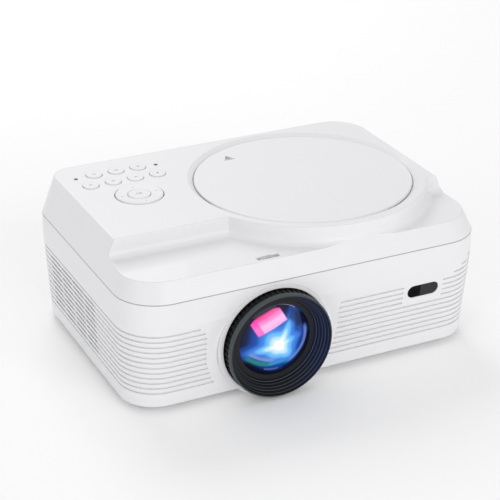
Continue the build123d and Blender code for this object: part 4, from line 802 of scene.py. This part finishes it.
class Sign(Enum):
    """Generic signs that are printed on the keys, as strokes and wedges in mm.

    A stroke is (x0, y0, x1, y1, width) and a wedge is (x, y, size, degrees).
    """

    POWER = (
        (
            (0, 0.2, 0, 1.5, PEN),
            (-1.0, -0.9, 1.0, -0.9, PEN),
            (-1.2, -0.8, -1.2, 0.6, PEN),
            (1.2, -0.8, 1.2, 0.6, PEN),
        ),
        (),
    )
    SOURCE = (
        (
            (-1.4, -0.9, 1.4, -0.9, PEN),
            (-1.4, -0.8, -1.4, 0.9, PEN),
            (1.4, -0.8, 1.4, 0.9, PEN),
        ),
        ((0, 0.3, 0.9, 270),),
    )
    MENU = (tuple((-1.3, y, 1.3, y, PEN) for y in (0.9, 0, -0.9)), ())
    PREVIOUS = (((-1.3, -0.9, -1.3, 0.9, PEN),), ((0.1, 0, 1.2, 180),))
    PLAY = (((1.2, -0.9, 1.2, 0.9, PEN),), ((-0.5, 0, 1.3, 0),))
    NEXT = (((1.3, -0.9, 1.3, 0.9, PEN),), ((-0.1, 0, 1.2, 0),))
    STOP = (((-0.9, 0, 0.9, 0, 1.8),), ())
    OPEN = (((-1.6, -1.0, 1.6, -1.0, 0.42),), ((0, 0.35, 1.5, 90),))
    UP = ((), ((0, 0, 0.9, 90),))
    RIGHT = ((), ((0, 0, 0.9, 0),))
    DOWN = ((), ((0, 0, 0.9, 270),))
    LEFT = ((), ((0, 0, 0.9, 180),))


@dataclass
class Printer:
    """Lays thin ink signs on flat tops."""

    ink_mm: float = 0.06
    sunk_mm: float = 0.03
    wedge_corners: tuple[float, float, float] = (0, 125, 235)

    def stamp(self, mesh: bmesh.types.BMesh, sign: Sign, at: Vector, size: float) -> None:
        """Add one sign to a mesh.

        Args:
            mesh: the mesh that gets the sign.
            sign: which sign.
            at: its middle, on the surface.
            size: scale of the sign's millimetres.
        """
        strokes, wedges = sign.value
        place = Matrix.Translation(at) @ Matrix.Scale(size * MM, 4)
        for x0, y0, x1, y1, width in strokes:
            start, end = Vector((x0, y0, 0)), Vector((x1, y1, 0))
            along = (end - start).normalized()
            aside = Vector((-along.y, along.x, 0)) * width / 2
            self.tile(mesh, [start - aside, end - aside, end + aside, start + aside], place)
        for x, y, reach, degrees in wedges:
            corners = [math.radians(degrees + corner) for corner in self.wedge_corners]
            spots = [Vector((x + reach * math.cos(turn), y + reach * math.sin(turn), 0)) for turn in corners]
            self.tile(mesh, spots, place)

    def tile(self, mesh: bmesh.types.BMesh, spots: list[Vector], place: Matrix) -> None:
        """Add one flat shape as a thin solid of ink.

        Args:
            mesh: the mesh that gets the shape.
            spots: its corners in the sign's own millimetres.
            place: where the sign's origin is and how large a millimetre is.
        """
        down = Vector((0, 0, self.sunk_mm * MM))
        corners = [mesh.verts.new(place @ spot - down) for spot in spots]
        grown = bmesh.ops.extrude_face_region(mesh, geom=[mesh.faces.new(corners)])
        raised = [part for part in grown["geom"] if isinstance(part, bmesh.types.BMVert)]
        bmesh.ops.translate(mesh, verts=raised, vec=(0, 0, self.ink_mm * MM))


# ---------------------------------------------------------------- sub-assemblies
class Assembly:
    """What every sub-assembly can do with its CAD nodes."""

    finishes: dict[str, Finish] = {}

    def dress(self) -> None:
        """Give each CAD node of this group its finish."""
        for node, finish in self.finishes.items():
            paint(frame["nodes"][node], finish.build())
            LOG.info("%s is %s", node, finish.name)

    def make(self) -> None:
        """Build the pieces that only the looks need."""


@dataclass
class CaseShells(Assembly):
    """White top and bottom shells, their feet, screws and receiver window."""

    finishes = {
        "upper_case": SHELL_ABS,
        "lower_case": SHELL_ABS,
        "lens_bezel": POLISHED_ABS,
        "ir_window": IR_ACRYLIC,
        "feet": RUBBER,
        "case_screws": STEEL,
        "tripod_insert": BRASS,
    }


@dataclass
class DiscBay(Assembly):
    """Round lid, its hinge and catch, and the dish under it."""

    lid_radius_mm: float = 74.0
    mark_at_mm: tuple[float, float] = (-31.6, 51.9)
    mark_size: float = 2.4
    finishes = {
        "disc_lid": POLISHED_ABS,
        "disc_well": SHELL_ABS,
        "hinge_pins": STEEL,
        "catch_guide": GREY_ACETAL,
        "catch_plunger": GREY_ACETAL,
    }

    def make(self) -> None:
        """Print the generic open sign on the lid."""
        spot = top_of("disc_lid")
        spot.x += self.mark_at_mm[0] * MM
        spot.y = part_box("disc_lid")[0].y + (self.lid_radius_mm + self.mark_at_mm[1]) * MM
        mesh = bmesh.new()
        Printer().stamp(mesh, Sign.OPEN, spot, self.mark_size)
        make_piece("lid_open_sign", mesh, INK.build(), "lid")


@dataclass
class Keypad(Assembly):
    """Seven round keys, the ring pad and the centre key, with their signs."""

    sign_size: float = 0.85
    arrow_radius_mm: float = 12.2
    arrow_drop_mm: float = 0.16
    letter_mm: float = 3.4
    letter_raise_mm: float = 0.03
    signs = {
        "key_back_1": Sign.POWER,
        "key_back_2": Sign.SOURCE,
        "key_back_3": Sign.MENU,
        "key_front_1": Sign.PREVIOUS,
        "key_front_2": Sign.PLAY,
        "key_front_3": Sign.NEXT,
        "key_front_4": Sign.STOP,
    }
    finishes = {
        **{key: POLISHED_ABS for key in signs},
        "pad_ring": POLISHED_ABS,
        "pad_centre_key": POLISHED_ABS,
        "pad_gimbal": GREY_ACETAL,
        "key_switches": SILICONE,
        "keypad_board": MASKED_BOARD,
        "indicator_pipes": SMOKED_PIPE,
    }

    def make(self) -> None:
        """Print the keys and the pad."""
        printer = Printer()
        for key, sign in self.signs.items():
            mesh = bmesh.new()
            printer.stamp(mesh, sign, top_of(key), self.sign_size)
            make_piece(f"{key}_sign", mesh, INK.build(), f"{key}_body")
        mesh = bmesh.new()
        middle = top_of("pad_ring")
        for sign, degrees in ((Sign.RIGHT, 0), (Sign.UP, 90), (Sign.LEFT, 180), (Sign.DOWN, 270)):
            turn = math.radians(degrees)
            reach = self.arrow_radius_mm * MM
            spot = middle + Vector((reach * math.cos(turn), reach * math.sin(turn), -self.arrow_drop_mm * MM))
            printer.stamp(mesh, sign, spot, 1.0)
        make_piece("pad_ring_signs", mesh, INK.build(), "pad")
        self.letter_centre_key()

    def letter_centre_key(self) -> None:
        """Print OK on the centre key."""
        curve = bpy.data.curves.new("centre_key_letters", "FONT")
        curve.body = "OK"
        curve.size = self.letter_mm * MM
        curve.align_x, curve.align_y = "CENTER", "CENTER"
        curve.extrude = self.letter_raise_mm * MM
        letters = bpy.data.objects.new("centre_key_letters", curve)
        bpy.context.scene.collection.objects.link(letters)
        bpy.context.view_layer.update()
        data = bpy.data.meshes.new_from_object(letters)
        data.transform(Matrix.Translation(top_of("pad_centre_key")))
        bpy.data.objects.remove(letters)
        mesh = bmesh.new()
        mesh.from_mesh(data)
        make_piece("pad_centre_key_sign", mesh, INK.build(), "centre_key")


@dataclass
class LensUnit(Assembly):
    """Focus ring, barrel, glasses and the bracket that holds them."""

    finishes = {
        "focus_ring": RING_BLACK,
        "lens_barrel": DULL_BLACK,
        "front_lens": FRONT_GLASS,
        "rear_lens": CLEAR_GLASS,
        "lens_mount": DULL_BLACK,
    }


@dataclass
class PlayerDeck(Assembly):
    """Spindle, turntable, pickup sled and the frame that carries them."""

    finishes = {
        "turntable": GLOSS_BLACK,
        "clamp_balls": STEEL,
        "spindle_motor": PRESSED_STEEL,
        "pickup_sled": GREY_ACETAL,
        "objective_lens": CLEAR_GLASS,
        "loader_frame": PRESSED_STEEL,
        "guide_rods": STEEL,
        "lead_screw": STEEL,
        "sled_motor": PRESSED_STEEL,
        "damper_bushes": RUBBER,
    }


@dataclass
class LightEngine(Assembly):
    """Lamp, display panel, lenses, mirror and cooling."""

    finishes = {
        "engine_housing": DULL_BLACK,
        "engine_cover": DULL_BLACK,
        "panel_carrier": DULL_BLACK,
        "display_panel": LCD_GLASS,
        "field_lens": CLEAR_GLASS,
        "condenser_lens": CLEAR_GLASS,
        "fold_mirror": SILVERED,
        "lamp_board": ALUMINIUM,
        "heat_sink": ALUMINIUM,
        "fan_frame": DULL_BLACK,
        "fan_rotor": DULL_BLACK,
        "keystone_dial": PALE_ACETAL,
        "dial_bracket": GREY_ACETAL,
    }


@dataclass
class Electronics(Assembly):
    """Boards, sockets, inlet and speaker."""

    finishes = {
        "main_board": MASKED_BOARD,
        "power_board": MASKED_BOARD,
        "player_board": MASKED_BOARD,
        "port_panel": GLOSS_BLACK,
        "sockets": PRESSED_STEEL,
        "power_inlet": GLOSS_BLACK,
        "speaker": DULL_BLACK,
    }


# ---------------------------------------------------------------- studio
@dataclass(frozen=True)
class Softbox:
    """One square soft lamp: where it stands and its size in metres, and its power."""

    name: str
    place: tuple[float, float, float]
    size: float
    watts: float


@dataclass
class Studio:
    """Pale floor, soft lights and the camera at the photograph's view, in metres."""

    camera_at: tuple[float, float, float] = (-0.4280, -0.87035, 0.5261)
    camera_to: tuple[float, float, float] = (-0.0033, 0.00755, 0.0560)
    lens_mm: float = 114.49
    sensor_mm: float = 36.0
    clip: tuple[float, float] = (0.05, 20.0)
    ambient: float = 0.6
    white: str = "#FFFFFF"
    floor_light: float = 0.05
    floor_half: float = 6.0
    floor_cells: int = 8
    lamps_aim: tuple[float, float, float] = (0.0, 0.0, 0.05)
    lamps: tuple[Softbox, ...] = (
        Softbox("back_softbox", (0.1, 1.3, 1.3), 1.0, 9.0),
        Softbox("side_softbox", (-1.5, -0.7, 0.9), 1.2, 3.2),
        Softbox("front_softbox", (0.2, -1.8, 0.8), 1.3, 10.5),
    )

    def build(self) -> None:
        """Make everything round the object."""
        self.build_floor()
        self.build_world()
        for lamp in self.lamps:
            self.build_lamp(lamp)
        self.build_camera()

    def build_floor(self) -> None:
        """A wide pale sheet just under the feet."""
        mesh = bmesh.new()
        cells = self.floor_cells
        bmesh.ops.create_grid(mesh, x_segments=cells, y_segments=cells, size=self.floor_half)
        data = bpy.data.meshes.new("studio_floor")
        mesh.to_mesh(data)
        mesh.free()
        floor = bpy.data.objects.new("studio_floor", data)
        bpy.context.scene.collection.objects.link(floor)
        paper = Finish(
            "studio_paper", self.white, 0.9, specular=0.1, grain_height_mm=0.001, drift=0.003
        ).build()
        shader = paper.node_tree.nodes["Principled BSDF"]
        shader.inputs["Emission Color"].default_value = linear(self.white)
        shader.inputs["Emission Strength"].default_value = self.floor_light
        paint(floor, paper)

    def build_world(self) -> None:
        """White where it is seen or mirrored, dimmer as a source of light."""
        world = bpy.data.worlds.new("studio_white")
        bpy.context.scene.world = world
        world.use_nodes = True
        tree = world.node_tree
        tree.nodes.clear()
        path = add_node(tree, "ShaderNodeLightPath").outputs
        seen = path["Is Camera Ray"]
        for kind in ("Is Glossy Ray", "Is Transmission Ray"):
            either = {0: seen, 1: path[kind]}
            seen = add_node(tree, "ShaderNodeMath", either, operation="MAXIMUM").outputs["Value"]
        dim, full = (
            add_node(tree, "ShaderNodeBackground", {"Color": linear(self.white), "Strength": strength})
            for strength in (self.ambient, 1.0)
        )
        sources = {0: seen, 1: dim.outputs["Background"], 2: full.outputs["Background"]}
        mix = add_node(tree, "ShaderNodeMixShader", sources)
        add_node(tree, "ShaderNodeOutputWorld", {"Surface": mix.outputs["Shader"]})

    def build_lamp(self, softbox: Softbox) -> None:
        """One square soft lamp that looks at the object.

        Args:
            softbox: the lamp's place, size and power.
        """
        lamp = bpy.data.lights.new(softbox.name, "AREA")
        lamp.size = softbox.size
        lamp.energy = softbox.watts
        self.aim(bpy.data.objects.new(softbox.name, lamp), softbox.place, self.lamps_aim)

    def build_camera(self) -> None:
        """The camera, level and at the photograph's distance."""
        data = bpy.data.cameras.new("photo_camera")
        data.lens = self.lens_mm
        data.sensor_width = self.sensor_mm
        data.clip_start, data.clip_end = self.clip
        camera = bpy.data.objects.new("photo_camera", data)
        self.aim(camera, self.camera_at, self.camera_to)
        bpy.context.scene.camera = camera

    def aim(
        self, holder: bpy.types.Object, place: tuple[float, float, float], target: tuple[float, float, float]
    ) -> None:
        """Stand a lamp or the camera somewhere and turn it to a target.

        Args:
            holder: the lamp or the camera.
            place: where it stands.
            target: what it looks at.
        """
        holder.location = place
        holder.rotation_mode = "QUATERNION"
        holder.rotation_quaternion = (Vector(target) - Vector(place)).to_track_quat("-Z", "Y")
        bpy.context.scene.collection.objects.link(holder)


def main() -> None:
    """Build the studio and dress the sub-assemblies."""
    logging.basicConfig(level=logging.INFO, format="%(message)s")
    bpy.context.scene.view_settings.view_transform = "Standard"
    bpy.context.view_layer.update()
    Studio().build()
    groups = [CaseShells(), DiscBay(), Keypad(), LensUnit(), PlayerDeck(), LightEngine(), Electronics()]
    for group in groups:
        group.dress()
        group.make()
        LOG.info("%s done", type(group).__name__)
    bpy.context.view_layer.update()


if __name__ == "__main__":
    main()
